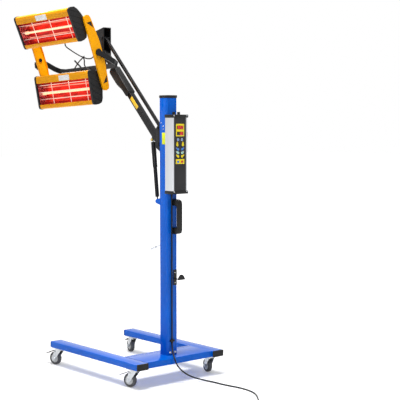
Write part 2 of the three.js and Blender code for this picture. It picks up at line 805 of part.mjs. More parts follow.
function controllerCap(faceZ, upward) {
    const width = controllerWidth + 2 * controllerCapOverhang;
    const depth = controllerDepth + controllerCapOverhang;
    const plate = rectangle(width, depth, controllerCorner, [0, -mastFront - depth / 2]);
    const far = faceZ + upward * controllerCapHeight;
    const lid = pullRounded('z', plate, Math.min(faceZ, far), Math.max(faceZ, far), controllerCapRound);
    const fit = 2 * (controllerWall + gap);
    const tip = faceZ - upward * controllerCapSpigot;
    const spigot = pull('z', rectangle(controllerWidth - fit, controllerDepth - fit - panelRecess,
        controllerCorner, [0, caseCentreY + panelRecess / 2]),
        Math.min(tip, faceZ + upward * controllerCapRound), Math.max(tip, faceZ + upward * controllerCapRound));
    if (upward < 0) return join(lid, spigot);
    const glands = [-1, 1].map((side) => rod('z', glandRadius, far - controllerCapRound, far + glandHeight,
        [side * glandSpacing / 2, caseCentreY], smallFacets));
    return join(lid, spigot, ...glands);
}

const switchY = caseFront + switchInset;
const plateFace = controllerWidth / 2 + gap + switchPlateThickness;

function switchPlate() {
    const plate = pullRounded('x', rectangle(switchPlateSize, switchPlateSize, switchPlateRound, [switchY, switchZ]),
        controllerWidth / 2 + gap, plateFace, panelThickness / 2);
    return cut(plate, rod('x', knobShaftRadius + gap, controllerWidth / 2 - overrun, plateFace + overrun,
        [switchY, switchZ], smallFacets));
}

function switchKnob() {
    const face = plateFace + gap;
    const disc = rod('x', knobRadius, face, face + knobDiscThickness, [switchY, switchZ]);
    const grip = pullRounded('x', rectangle(knobGripWidth, 2 * knobRadius - panelThickness, knobGripWidth / 2,
        [switchY, switchZ]), face + gap, face + knobDiscThickness + knobGripHeight, panelThickness / 2);
    const shaft = rod('x', knobShaftRadius, controllerWidth / 2 - knobShaftDepth, face + knobDiscThickness / 2,
        [switchY, switchZ], smallFacets);
    return join(disc, grip, shaft);
}

piece(machine, 'controller_case', controllerCase(), 'anodised');
piece(machine, 'controller_top_cap', controllerCap(caseTop + gap, 1), 'blackPlastic');
piece(machine, 'controller_bottom_cap', controllerCap(caseBottom - gap, -1), 'blackPlastic');
piece(machine, 'control_panel', pull('z', rectangle(panelWidth, panelThickness, 0,
    [0, caseFront + panelRecess - gap - panelThickness / 2]), caseBottom, caseTop), 'greyPanel');
piece(machine, 'switch_plate', switchPlate(), 'yellowPlastic');
piece(machine, 'switch_knob', switchKnob(), 'redPlastic');

// Bracket on the mast's front face that holds the arm, the link and, lower down, the strut's foot
const armDirection = new THREE.Vector2(Math.cos(armAngle), Math.sin(armAngle));
const armEnd = new THREE.Vector2(armRootY, armRootZ).addScaledVector(armDirection, armLength);
const linkRoot = [armRootY, armRootZ + linkSpacing];
const linkEnd = [armEnd.x, armEnd.y + linkSpacing];
const cheekInner = armSize / 2 + gap;

// A pin across the bracket with a bush on each side of what turns on it
function crossPin(radius, centre, halfGap, innerFace, outerFace) {
    const bush = radius + armBushWall;
    const parts = [rod('x', radius, -outerFace, outerFace, centre, smallFacets)];
    for (const side of [1, -1]) {
        const spans = [[outerFace, outerFace + pinHeadThickness, radius + pinHeadWall]];
        if (innerFace - halfGap > 2 * gap) spans.push([halfGap, innerFace + gap, bush]);
        for (const [from, to, size] of spans) {
            parts.push(rod('x', size, Math.min(side * from, side * to), Math.max(side * from, side * to),
                centre, smallFacets));
        }
    }
    return join(...parts);
}

function armBracket() {
    const face = mastFront + bracketBackThickness;
    const outer = cheekInner + bracketCheekThickness;
    const reach = mastFront + bracketReach;
    const cheek = outline([
        [mastFront, bracketBottomZ, 0], [face, bracketBottomZ, 0],
        [reach, armRootZ - armSize / 2, armSize / 2], [reach, linkRoot[1], armSize],
        [face, bracketTopZ, 0], [mastFront, bracketTopZ, 0],
    ]);
    const back = box([-outer, outer], [mastFront, face], [bracketBottomZ, bracketTopZ]);
    return join(back, pull('x', cheek, cheekInner, outer), pull('x', cheek, -outer, -cheekInner),
        crossPin(armPinRadius, [armRootY, armRootZ], armSize / 2 + gap, cheekInner, outer),
        crossPin(linkPinRadius, linkRoot, linkSize / 2 + gap, cheekInner, outer));
}

// A square tube along +x from pin to pin, with bushed holes and the strut's lugs where asked
function armTube(size, wall, reach, pinRadius, withLugs) {
    const profile = withHole(rectangle(size, size, wall / 2), rectangle(size - 2 * wall, size - 2 * wall, 0));
    const tube = pull('x', profile, -reach, armLength + reach);
    const ends = [0, armLength];
    const half = size / 2;
    const bores = ends.map((x) => rod('y', pinRadius + gap, -half - overrun, half + overrun, [0, x], smallFacets));
    if (!withLugs) return cut(tube, ...bores);
    const bushes = ends.map((x) => rod('y', pinRadius + gap + wall, -half + wall / 2, half - wall / 2,
        [0, x], smallFacets));
    const inner = strutEyeWidth / 2 + gap;
    const lug = outline([
        [-half + wall / 2, strutTopAlong - strutEyeRadius * lugReachShare, 0],
        [-half + wall / 2, strutTopAlong + strutEyeRadius * lugReachShare, 0],
        [-strutTopDrop - strutEyeRadius, strutTopAlong + strutEyeRadius / 2, strutEyeRadius],
        [-strutTopDrop - strutEyeRadius, strutTopAlong - strutEyeRadius / 2, strutEyeRadius],
    ]);
    const lugs = [pull('y', lug, inner, inner + lugThickness), pull('y', lug, -inner - lugThickness, -inner)];
    return cut(join(tube, ...bushes, ...lugs), ...bores);
}

// Groups that carry pieces along the arm: x runs up the arm, z stands square to it
function armGroup(y, z) {
    const group = new THREE.Group();
    group.matrixAutoUpdate = false;
    const along = new THREE.Vector3(0, armDirection.x, armDirection.y);
    const up = new THREE.Vector3(0, -armDirection.y, armDirection.x);
    group.matrix.makeBasis(along, new THREE.Vector3(-1, 0, 0), up).setPosition(0, y, z);
    machine.add(group);
    return group;
}

// Cover round the lower arm, bellied underneath, drawn in (z, x)
function armCover() {
    const length = coverTo - coverFrom;
    const side = outline([
        [coverTopRise, coverFrom, coverCorner], [coverTopRise, coverTo - coverCorner, coverCorner],
        [coverCorner, coverTo, coverCorner], [-coverBelly + coverNeck / 2, coverTo, coverNeck],
        [-coverBelly, coverTo - coverNeck / 2, coverNeck], [-coverBelly, coverTo - length / 2, coverNeck],
        [-coverNeck, coverTo - 3 * length / 4, coverNeck], [-coverNeck, coverFrom, coverCorner],
    ]);
    const bore = armSize + 2 * gap;
    return cut(pullRounded('y', side, -coverHalfWidth, coverHalfWidth, coverRound),
        pull('x', rectangle(bore, bore, 0), coverFrom - overrun, coverTo + overrun));
}

const lowerArm = armGroup(armRootY, armRootZ);
const upperLink = armGroup(...linkRoot);
piece(machine, 'arm_bracket', armBracket(), 'blackPaint');
piece(lowerArm, 'lower_arm', armTube(armSize, armWall, armEndReach, armPinRadius, true), 'blackPaint');
piece(lowerArm, 'arm_cover', armCover(), 'blackPlastic');
piece(upperLink, 'upper_link', armTube(linkSize, linkWall, linkEndReach, linkPinRadius, false), 'blackPaint');

// Gas strut, drawn along +z from its foot
const strutTop = new THREE.Vector2(armRootY, armRootZ)
    .addScaledVector(armDirection, strutTopAlong)
    .add(new THREE.Vector2(armDirection.y, -armDirection.x).multiplyScalar(strutTopDrop));
const strutVector = strutTop.clone().sub(new THREE.Vector2(strutFootY, strutFootZ));
const strutLength = strutVector.length();
const strut = new THREE.Group();
strut.position.set(0, strutFootY, strutFootZ);
strut.rotation.x = -Math.atan2(strutVector.x, strutVector.y);
machine.add(strut);

function strutCylinder() {
    const half = strutEyeWidth / 2;
    const eye = rod('x', strutEyeRadius, -half, half, [0, 0], smallFacets);
    const neck = rod('z', strutRodRadius, strutEyeRadius / 2, strutCylinderFrom + gap, [0, 0], smallFacets);
    const end = strutCylinderFrom + strutCylinderLength;
    const tube = rod('z', strutCylinderRadius, strutCylinderFrom, end);
    const bore = rod('z', strutBore, strutCylinderFrom + strutBottomWall, end - strutBottomWall);
    const mouth = rod('z', strutRodRadius + gap, end - strutBottomWall - overrun, end + overrun, [0, 0], smallFacets);
    return cut(join(eye, neck, tube), bore, mouth,
        rod('x', strutPinRadius + gap, -half - overrun, half + overrun, [0, 0], smallFacets));
}

function strutRod() {
    const half = strutEyeWidth / 2;
    const end = strutCylinderFrom + strutCylinderLength;
    const shaft = rod('z', strutRodRadius, end - strutRodDepth, strutLength - strutEyeRadius / 2, [0, 0], smallFacets);
    const piston = rod('z', strutPistonRadius, end - strutRodDepth, end - strutRodDepth + strutPistonLength);
    const eye = rod('x', strutEyeRadius, -half, half, [0, strutLength], smallFacets);
    return cut(join(shaft, piston, eye),
        rod('x', strutPinRadius, -half - overrun, half + overrun, [0, strutLength], smallFacets));
}

piece(strut, 'strut_cylinder', strutCylinder(), 'blackPaint');
piece(strut, 'strut_rod', strutRod(), 'chrome');

// Locking lever on the front face of the mast, in a slotted block
const lockPivotY = mastFront + lockPivotReach;

function lockBlock() {
    const half = lockBlockHeight / 2;
    const block = pullRounded('x', rectangle(lockBlockDepth, lockBlockHeight, lockBlockDepth / 4,
        [mastFront + lockBlockDepth / 2, lockLeverZ]), -lockBlockWidth / 2, lockBlockWidth / 2, overrun / 2);
    const slot = box([-lockSlotWidth / 2, lockSlotWidth / 2], [mastFront + lockPinRadius, mastFront + lockBlockDepth + overrun],
        [lockLeverZ - half - overrun, lockLeverZ + half + overrun]);
    const pin = rod('x', lockPinRadius, -lockSlotWidth / 2 - gap, lockSlotWidth / 2 + gap,
        [lockPivotY, lockLeverZ], smallFacets);
    return join(cut(block, slot), pin);
}

function lockLever() {
    const half = lockSlotWidth / 2 - gap;
    const reach = lockRodLength + lockGripLength;
    const eye = rod('y', lockPinRadius * 2, -half, half, [0, 0], smallFacets);
    const shank = rod('x', lockRodRadius, lockPinRadius + gap, lockRodLength + overrun, [0, 0], smallFacets);
    const grip = rod('x', lockGripRadius, lockRodLength, reach - lockGripRadius / 2, [0, 0], smallFacets);
    const knob = rod('x', lockGripRadius * 0.8, reach - lockGripRadius, reach, [0, 0], smallFacets);
    return cut(join(eye, shank, grip, knob),
        rod('y', lockPinRadius + gap, -half - overrun, half + overrun, [0, 0], smallFacets));
}

const leverGroup = new THREE.Group();
leverGroup.position.set(0, lockPivotY, lockLeverZ);
leverGroup.rotation.set(-THREE.MathUtils.degToRad(lockLeverFall), 0, Math.PI / 2, 'XYZ');
machine.add(leverGroup);
piece(machine, 'lock_block', lockBlock(), 'blackPlastic');
piece(leverGroup, 'lock_lever', lockLever(), 'chrome');

// End bracket: a channel open to the rear, with the upright pin under its floor
function endBracket() {
    const front = endBracketRearY + endBracketDepth;
    const outer = endBracketHalfWidth;
    const inner = outer - endBracketThickness;
    const cheek = outline([
        [endBracketRearY, endBracketBottomZ, endBracketThickness], [front, endBracketBottomZ, 0],
        [front, endBracketTopZ - endBracketTopFall, 0], [endBracketRearY, endBracketTopZ, endBracketThickness],
    ]);
    const lid = outline([
        [endBracketRearY, endBracketTopZ - endBracketThickness, 0],
        [front, endBracketTopZ - endBracketTopFall - endBracketThickness, 0],
        [front, endBracketTopZ - endBracketTopFall, 0], [endBracketRearY, endBracketTopZ, 0],
    ]);
    const floor = box([-outer, outer], [front - endBracketFloorDepth, front],
        [endBracketBottomZ, endBracketBottomZ + endBracketFloor]);
    return join(
        pull('x', cheek, inner, outer), pull('x', cheek, -outer, -inner),
        box([-outer, outer], [front - endBracketThickness, front],
            [endBracketBottomZ, endBracketTopZ - endBracketTopFall - endBracketThickness / 2]),
        pull('x', lid, -outer, outer), floor,
        rod('z', swivelPinRadius, swivelPinBottomZ, endBracketBottomZ + endBracketFloor / 2, [0, swivelY]),
        rod('z', swivelPinHeadRadius, swivelPinBottomZ, swivelPinBottomZ + swivelPinHeadHeight, [0, swivelY]),
        crossPin(armPinRadius, [armEnd.x, armEnd.y], armSize / 2 + gap, inner, outer),
        crossPin(linkPinRadius, linkEnd, linkSize / 2 + gap, inner, outer));
}

piece(machine, 'end_bracket', endBracket(), 'blackPaint');

// Head frame: x points back, y along the cassettes, z up along the side bars
const head = new THREE.Group();
const headTurn = new THREE.Matrix4().makeTranslation(headX, headY, headZ)
    .multiply(new THREE.Matrix4().makeRotationZ(THREE.MathUtils.degToRad(headYaw)))
    .multiply(new THREE.Matrix4().makeRotationX(THREE.MathUtils.degToRad(headRoll)));
head.matrixAutoUpdate = false;
head.matrix.copy(headTurn);
machine.add(head);

function tilted(parent, degrees) {
    const group = new THREE.Group();
    group.rotation.y = -THREE.MathUtils.degToRad(degrees);
    parent.add(group);
    return group;
}

const frame = tilted(head, headTilt);
const yokeTilt = headTilt - yokeDrop;
const yokeGroup = tilted(head, yokeTilt);

// Yoke: the U is drawn in (x, y) with its arms along +x, the bar's width standing on z
function yoke() {
    const outer = yokeArmOuter;
    const inner = yokeArmInner;
    const back = yokeReach + yokeBarThickness / 2;
    const face = yokeReach - yokeBarThickness / 2;
    const bend = outline([
        [0, -outer, 0], [back, -outer, yokeBend + yokeBarThickness], [back, outer, yokeBend + yokeBarThickness],
        [0, outer, 0], [0, inner, 0], [face, inner, yokeBend], [face, -inner, yokeBend], [0, -inner, 0],
    ]);
    const bar = pull('z', bend, -yokeBarWidth / 2, yokeBarWidth / 2);
    const right = [
        rod('y', yokeEndRadius, -outer, -inner), rod('y', yokePinHeadRadius, -inner - gap, -barOuter - gap),
        rod('y', yokePinRadius, -outer, -barOuter + barWall + gap), rod('y', yokePinHeadRadius,
            -barOuter + barWall + gap, -barOuter + barWall + gap + yokePinHeadThickness),
    ];
    const left = [
        pull('y', quadrant(0), inner, outer), rod('y', yokePinHeadRadius, barOuter + gap, inner + gap),
        rod('y', yokePinRadius, barOuter - barWall - gap, outer), rod('y', yokePinHeadRadius,
            barOuter - barWall - gap - yokePinHeadThickness, barOuter - barWall - gap),
    ];
    const spindleHole = rod('x', spindleRadius + gap, face - overrun, back + overrun);
    const studHole = rod('x', leverStudRadius + gap, face - overrun, back + overrun, [leverStudOffset, 0], smallFacets);
    const slot = arcSlot(quadrantSlotRadius, quadrantSlotWidth / 2, 90 - quadrantTo, 90 - quadrantFrom);
    return cut(join(bar, ...right, ...left), pull('y', slot, inner - overrun, outer + overrun), spindleHole, studHole);
}

// Sector of the left yoke arm in which the friction knob's stud runs, drawn in (z, x)
function quadrant(margin) {
    const shape = new THREE.Shape();
    const radius = quadrantRadius - margin;
    const start = THREE.MathUtils.degToRad(quadrantFrom - 14);
    const end = THREE.MathUtils.degToRad(quadrantTo + 14);
    const steps = smallFacets;
    shape.moveTo(yokeEndRadius * Math.sin(start + Math.PI / 2), yokeEndRadius * Math.cos(start + Math.PI / 2));
    for (let i = 0; i <= steps; i += 1) {
        const angle = start + (end - start) * i / steps;
        shape.lineTo(radius * Math.sin(angle), radius * Math.cos(angle));
    }
    for (let i = 1; i < steps; i += 1) {
        const angle = end + (start + 2 * Math.PI - end) * i / steps;
        shape.lineTo(yokeEndRadius * Math.sin(angle), yokeEndRadius * Math.cos(angle));
    }
    shape.closePath();
    return shape;
}

// Curved slot round the origin, from one angle to another in degrees
function arcSlot(radius, half, fromAngle, toAngle) {
    const start = THREE.MathUtils.degToRad(fromAngle);
    const end = THREE.MathUtils.degToRad(toAngle);
    const shape = new THREE.Shape();
    shape.absarc(0, 0, radius + half, start, end, false);
    shape.absarc(radius * Math.cos(end), radius * Math.sin(end), half, end, end + Math.PI, false);
    shape.absarc(0, 0, radius - half, end, start, true);
    shape.absarc(radius * Math.cos(start), radius * Math.sin(start), half, start + Math.PI, start + 2 * Math.PI, false);
    return new THREE.Shape(withoutRepeats(shape.getPoints(smallFacets / 2)));
}

piece(yokeGroup, 'yoke', yoke(), 'blackPaint');

// Group whose z runs along the yoke's spindle, away from the head, and whose y is the yoke's own
const spindle = new THREE.Group();
spindle.position.x = yokeReach;
spindle.rotation.y = Math.PI / 2;
yokeGroup.add(spindle);
spindle.updateWorldMatrix(true, false);
const spindleMatrix = new THREE.Matrix4().multiplyMatrices(headTurn, yokeGroup.matrix).multiply(spindle.matrix);

// Swivel block: a collar on the upright pin, a bridge and the spindle with its brake plate, in machine coordinates
function swivelBlock() {
    const back = yokeBarThickness / 2 + gap;
    const bottom = swivelPinBottomZ + swivelPinHeadHeight + gap;
    const collar = rod('z', blockRadius, bottom, endBracketBottomZ - gap, [0, swivelY]);
    const bridge = box([-bridgeLeft, bridgeRight], [swivelY, bridgeReachY], [bridgeBottomZ, bridgeTopZ]);
    const origin = new THREE.Vector3().setFromMatrixPosition(spindleMatrix);
    const along = new THREE.Vector3(0, 0, 1).transformDirection(spindleMatrix);
    const reach = (-bridgeLeft / 2 - origin.x) / along.x;
    const plateEnd = back + brakePlateThickness;
    const plate = pull('z', outline([
        [-brakePlateWidth / 2, -spindleBossRadius, spindleBossRadius], [brakePlateWidth / 2, -spindleBossRadius,
            spindleBossRadius], [brakePlateWidth / 2, brakePlateReach, brakePlateWidth / 2],
        [-brakePlateWidth / 2, brakePlateReach, brakePlateWidth / 2],
    ]), back, plateEnd);
    const turned = join(plate, rod('z', spindleBossRadius, back, reach),
        rod('z', spindleRadius, -back - spindleNutThickness, plateEnd),
        rod('z', spindleNutRadius, -back - spindleNutThickness, -back, [0, 0], 6));
    const slot = arcSlot(leverStudOffset, leverStudRadius + 2 * gap, 90 - leverSlotAngle, 90 + leverSlotAngle);
    const slotted = cut(turned, pull('z', slot, back - overrun, plateEnd + overrun));
    slotted.applyMatrix4(spindleMatrix);
    const bore = rod('z', swivelPinRadius + gap, bottom - overrun, endBracketBottomZ + overrun, [0, swivelY]);
    const head = rod('z', swivelPinHeadRadius + gap, bridgeBottomZ - overrun, bottom, [0, swivelY]);
    return cut(join(collar, cut(bridge, head), slotted), bore);
}

// Lever that clamps the yoke to the brake plate, drawn round its stud
function swivelLever() {
    const back = yokeBarThickness / 2 + brakePlateThickness + 2 * gap;
    const rise = THREE.MathUtils.degToRad(leverHandleRise);
    const start = new THREE.Vector3(0, 0, back + leverHubLength - leverHandleRadius);
    const end = new THREE.Vector3(-leverHandleLength * Math.sin(rise), leverHandleLength * Math.cos(rise), start.z);
    const lever = join(
        rod('z', leverStudRadius, -yokeBarThickness / 2 - gap - leverNutThickness, back + overrun, [0, 0], smallFacets),
        rod('z', leverNutRadius, -yokeBarThickness / 2 - gap - leverNutThickness, -yokeBarThickness / 2 - gap, [0, 0], 6),
        rod('z', leverHubRadius, back, back + leverHubLength, [0, 0], smallFacets),
        strutBetween(start, end, leverHandleRadius));
    return lever.translate(0, leverStudOffset, 0);
}

piece(machine, 'swivel_block', swivelBlock(), 'blackPaint');
piece(spindle, 'swivel_lever', swivelLever(), 'blackPlastic');

// Side bar: a shallow channel with its web outside, cut away slantwise near both ends
function sideBar(side) {
    const edge = (inset) => outline([
        [-barHalfLength + inset, -barFront + inset, barEndRound], [-barHalfLength + inset, barEndBack - inset, barEndRound],
        [-barTaperFrom, barBack - inset, barEndRound], [barTaperFrom, barBack - inset, barEndRound],
        [barHalfLength - inset, barEndBack - inset, barEndRound], [barHalfLength - inset, -barFront + inset, barEndRound],
    ].reverse());
    const span = (a, b) => [Math.min(side * a, side * b), Math.max(side * a, side * b)];
    const rim = pull('y', withHole(edge(0), edge(barWall)), ...span(barInner, barOuter));
    const web = pull('y', edge(barWall / 2), ...span(barOuter - barWall, barOuter));
    const pockets = [1, -1].map((end) => pull('y', outline([
        [end * barPocketBottom, barBack - 2 * barPocketInset, barWall],
        [end * (cassettePivotUp - cassetteBossRadius), -barFront + 2 * barPocketInset, barWall],
        [end * (cassettePivotUp - cassetteBossRadius), barEndBack + barPocketInset, barWall],
    ]), ...span(barOuter - barWall - overrun, barOuter + overrun)));
    const pins = [1, -1].map((end) => rod('y', cassettePinRadius, ...span(cassetteHalfLength - cassetteCapThickness / 2,
        barOuter - barWall / 2), [end * cassettePivotUp, cassettePivotBack], smallFacets));
    const pivot = rod('y', yokePinRadius + gap, ...span(barInner, barOuter + overrun), [0, 0], smallFacets);
    return cut(join(rim, cut(web, ...pockets), ...pins), pivot);
}

// Friction knob with its stud, screwed into the left bar through the yoke's slot
function frictionKnob() {
    const angle = THREE.MathUtils.degToRad(frictionKnobAngle);
    const centre = [quadrantSlotRadius * Math.sin(angle), quadrantSlotRadius * Math.cos(angle)];
    const face = yokeArmOuter + gap;
    const knob = pullRounded('y', lobedOutline(frictionKnobRadius, centre), face, face + frictionKnobThickness, overrun);
    return join(knob, rod('y', frictionStudRadius, barOuter + gap, face + frictionKnobThickness / 2, centre, smallFacets));
}

// Round outline with shallow finger scallops
function lobedOutline(radius, centre) {
    const lobes = 7;
    const steps = lobes * 6;
    const depth = radius / 20;
    const points = Array.from({ length: steps }, (_, i) => {
        const angle = i / steps * 2 * Math.PI;
        const reach = radius - depth + depth * Math.cos(angle * lobes);
        return new THREE.Vector2(centre[0] + reach * Math.cos(angle), centre[1] + reach * Math.sin(angle));
    });
    return new THREE.Shape(points);
}

piece(frame, 'left_side_bar', sideBar(1), 'yellowPaint');
piece(frame, 'right_side_bar', sideBar(-1), 'yellowPaint');
const knobMesh = piece(frame, 'friction_knob', frictionKnob(), 'blackPlastic');
knobMesh.userData.axisAngle = frictionKnobAngle;

// Cassette section, drawn in (z, x), with every side moved outwards by a margin
function cassetteSection(margin) {
    return outline(grown([
        [-cassetteBottom, -cassetteFront, cassetteCorner], [cassetteTop, -cassetteFront, cassetteCorner],
        [cassetteTop, -cassetteTopBend, cassetteBackCorner], [cassetteRidge, -cassetteBack, cassetteBackCorner],
        [-cassetteBottom, -cassetteBottomBend, cassetteBackCorner],
    ], margin));
}

// Housing: bent sheet with front flanges round the opening
function cassetteHousing() {
    const reach = cassetteHalfLength - cassetteCapThickness - gap;
    const shell = withHole(cassetteSection(0), cassetteSection(-cassetteSheet));
    const opening = box([-cassetteFront - overrun, -cassetteFront + cassetteSheet + overrun],
        [-reach - overrun, reach + overrun], [-openingBottom, openingTop]);
    return cut(pull('y', shell, -reach, reach), opening);
}

// End cap: a plate with slanting ribs, a spigot into the housing and the pivot boss
function cassetteCap(side) {
    const span = (a, b) => [Math.min(side * a, side * b), Math.max(side * a, side * b)];
    const innerFace = cassetteHalfLength - cassetteCapThickness;
    const plate = pull('y', cassetteSection(cassetteCapOverhang), ...span(innerFace, cassetteHalfLength));
    const spigotSection = cassetteSection(-cassetteSheet - gap);
    const spigot = pull('y', spigotSection, ...span(innerFace - capSpigotDepth, innerFace + overrun / 2));
    const clear = pull('y', cassetteSection(-cassetteSheet - gap - capSpigotDepth),
        ...span(innerFace - capSpigotDepth - overrun, innerFace));
    const mouth = box([-cassetteFront - overrun, -cassetteFront + reflectorLip + overrun],
        span(innerFace - capSpigotDepth - overrun, innerFace), [-openingBottom - reflectorLip, openingTop + reflectorLip]);
    const lean = THREE.MathUtils.degToRad(ribLean);
    const height = cassetteTop + cassetteBottom;
    const ribs = Array.from({ length: ribCount }, (_, i) => {
        const rib = box([-height, height], span(cassetteHalfLength - overrun, cassetteHalfLength + ribHeight),
            [-ribWidth / 2, ribWidth / 2]);
        rib.rotateY(lean);
        return rib.translate(-cassetteFront / 2, 0, (i - (ribCount - 1) / 2) * 2 * height / ribCount);
    });
    const ribbed = common(join(...ribs), pull('y', cassetteSection(-overrun),
        ...span(cassetteHalfLength - overrun, cassetteHalfLength + 2 * ribHeight)));
    const boss = rod('y', cassetteBossRadius, ...span(innerFace, barOuter - barWall - gap));
    const bore = rod('y', cassettePinRadius + gap, ...span(innerFace - overrun, barOuter), [0, 0], smallFacets);
    return cut(join(plate, cut(spigot, clear, mouth), ribbed, boss), bore);
}

// Reflector: a curved trough with end walls and lips behind the housing's flanges
function reflector() {
    const mid = (openingTop - openingBottom) / 2;
    const half = (openingTop + openingBottom) / 2;
    const front = -cassetteFront + cassetteSheet + gap;
    const steps = smallFacets;
    const arc = (grow) => Array.from({ length: steps + 1 }, (_, i) => {
        const angle = i / steps * Math.PI;
        return [mid + (half + grow) * Math.cos(angle), front + (reflectorDepth + grow) * Math.sin(angle)];
    });
    const inner = arc(0);
    const outerArc = arc(reflectorSheet).reverse();
    const lipTop = half + mid + reflectorLip;
    const lipBottom = mid - half - reflectorLip;
    const section = new THREE.Shape([
        ...inner, [lipBottom, front], [lipBottom, front + reflectorSheet],
        ...outerArc.filter(([, x]) => x > front + reflectorSheet),
        [lipTop, front + reflectorSheet], [lipTop, front],
    ].map(([z, x]) => new THREE.Vector2(z, x)));
    const trough = pull('y', section, -reflectorHalfLength, reflectorHalfLength);
    const wallShape = new THREE.Shape(arc(reflectorSheet / 2).map(([z, x]) => new THREE.Vector2(z, x)));
    const walls = [1, -1].map((side) => pull('y', wallShape,
        Math.min(side * reflectorHalfLength, side * (reflectorHalfLength - reflectorSheet)),
        Math.max(side * reflectorHalfLength, side * (reflectorHalfLength - reflectorSheet))));
    return join(trough, ...walls);
}

// Quartz tube with its two end fittings
function emitter() {
    const centre = [(openingTop - openingBottom) / 2, -emitterBack];
    const end = reflectorHalfLength - reflectorSheet - gap;
    const fittings = [1, -1].map((side) => rod('y', emitterEndRadius,
        Math.min(side * end, side * (end - emitterEndLength)), Math.max(side * end, side * (end - emitterEndLength)),
        centre, smallFacets));
    return join(rod('y', emitterRadius, -emitterHalfLength - gap, emitterHalfLength + gap, centre, smallFacets), ...fittings);
}

// Wire guard in the mouth of the reflector
function wireGuard() {
    const x = -cassetteFront + guardSetback;
    const mid = (openingTop - openingBottom) / 2;
    const half = (openingTop + openingBottom) / 2;
    const sunk = (guardSetback - cassetteSheet - gap) / reflectorDepth;
    const reach = half * Math.sqrt(1 - sunk * sunk) - guardWireRadius;
    const end = reflectorHalfLength - reflectorSheet - gap;
    const rows = guardRows.map((z) => rod('y', guardWireRadius, -end, end, [z, x], 6));
    const columns = guardColumns.map((y) => rod('z', guardWireRadius, mid - reach, mid + reach, [x, y], 6));
    return join(...rows, ...columns);
}

for (const [name, up, degrees] of [
    ['upper', cassettePivotUp, upperCassetteTilt], ['lower', -cassettePivotUp, lowerCassetteTilt]]) {
    const place = new THREE.Group();
    place.position.set(cassettePivotBack, 0, up);
    frame.add(place);
    const cassette = tilted(place, degrees - headTilt);
    piece(cassette, `${name}_housing`, cassetteHousing(), 'yellowPaint');
    piece(cassette, `${name}_left_cap`, cassetteCap(1), 'blackPlastic');
    piece(cassette, `${name}_right_cap`, cassetteCap(-1), 'blackPlastic');
    piece(cassette, `${name}_reflector`, reflector(), 'reflector');
    piece(cassette, `${name}_emitter`, emitter(), 'quartz');
    piece(cassette, `${name}_guard`, wireGuard(), 'steelWire');
}

// Free cord from the clip's boot to the coil
const route = cordRoute.map((point) => new THREE.Vector3(...point));
const cordCurve = new THREE.CatmullRomCurve3(route, false, 'centripetal');

function freeCord() {
    const section = new THREE.Shape(Array.from({ length: cordSides }, (_, i) => {
        const angle = (i + 0.5) / cordSides * 2 * Math.PI;
        return new THREE.Vector2(Math.cos(angle), Math.sin(angle)).multiplyScalar(cordDiameter / 2);
    }));
    return new THREE.ExtrudeGeometry(section, { steps: cordSteps, extrudePath: cordCurve, bevelEnabled: false });
}

// Centre line of the coil: layers that spiral in and out, with a climb in the half turn between
function coilPath() {
    const end = route[route.length - 1];
    const outerRadius = coilInnerRadius + coilPitch * coilTurnsPerLayer;
    const centre = new THREE.Vector2(end.x - outerRadius, end.y - gap);
    const points = [];
    const bottom = cordDiameter / 2 + coilFloorLift;
    let angle = 0;
    const step = 2 * Math.PI / coilStepsPerTurn;
    const put = (radius, height) => points.push(new THREE.Vector3(
        centre.x + radius * Math.cos(angle), centre.y - radius * Math.sin(angle), bottom + height));
    const stepsPerLayer = Math.round(coilTurnsPerLayer * coilStepsPerTurn);
    const climbSteps = coilStepsPerTurn / 2;
    put(outerRadius, 0);
    points[0].z = end.z;
    points.push(points[0].clone().add(new THREE.Vector3(0, -cordDiameter, 0)));
    centre.y -= cordDiameter;
    for (let layer = 0; layer < coilLayers; layer += 1) {
        const inward = layer % 2 === 0;
        for (let i = 1; i <= stepsPerLayer; i += 1) {
            angle += step;
            const share = inward ? 1 - i / stepsPerLayer : i / stepsPerLayer;
            put(coilInnerRadius + (outerRadius - coilInnerRadius) * share, layer * coilPitch);
        }
        if (layer === coilLayers - 1) break;
        for (let i = 1; i <= climbSteps; i += 1) {
            angle += step;
            const bulge = coilDip * Math.sin(i / climbSteps * Math.PI) * (inward ? -1 : 1);
            const radius = inward ? coilInnerRadius : outerRadius;
            put(radius + bulge, (layer + i / climbSteps) * coilPitch);
        }
    }
    const last = points[points.length - 1];
    const tangent = last.clone().sub(points[points.length - 2]).setZ(0).normalize();
    const fall = last.z - plugRadius - coilFloorLift;
    const tailSteps = 6;
    for (let i = 1; i <= tailSteps; i += 1) {
        const share = i / tailSteps;
        const ease = share * share * (3 - 2 * share);
        points.push(last.clone().addScaledVector(tangent, coilTailLength * share).setZ(last.z - fall * ease));
    }
    const tip = points[points.length - 1];
    points.push(tip.clone().addScaledVector(tangent, cordDiameter));
    return { points, tangent };
}

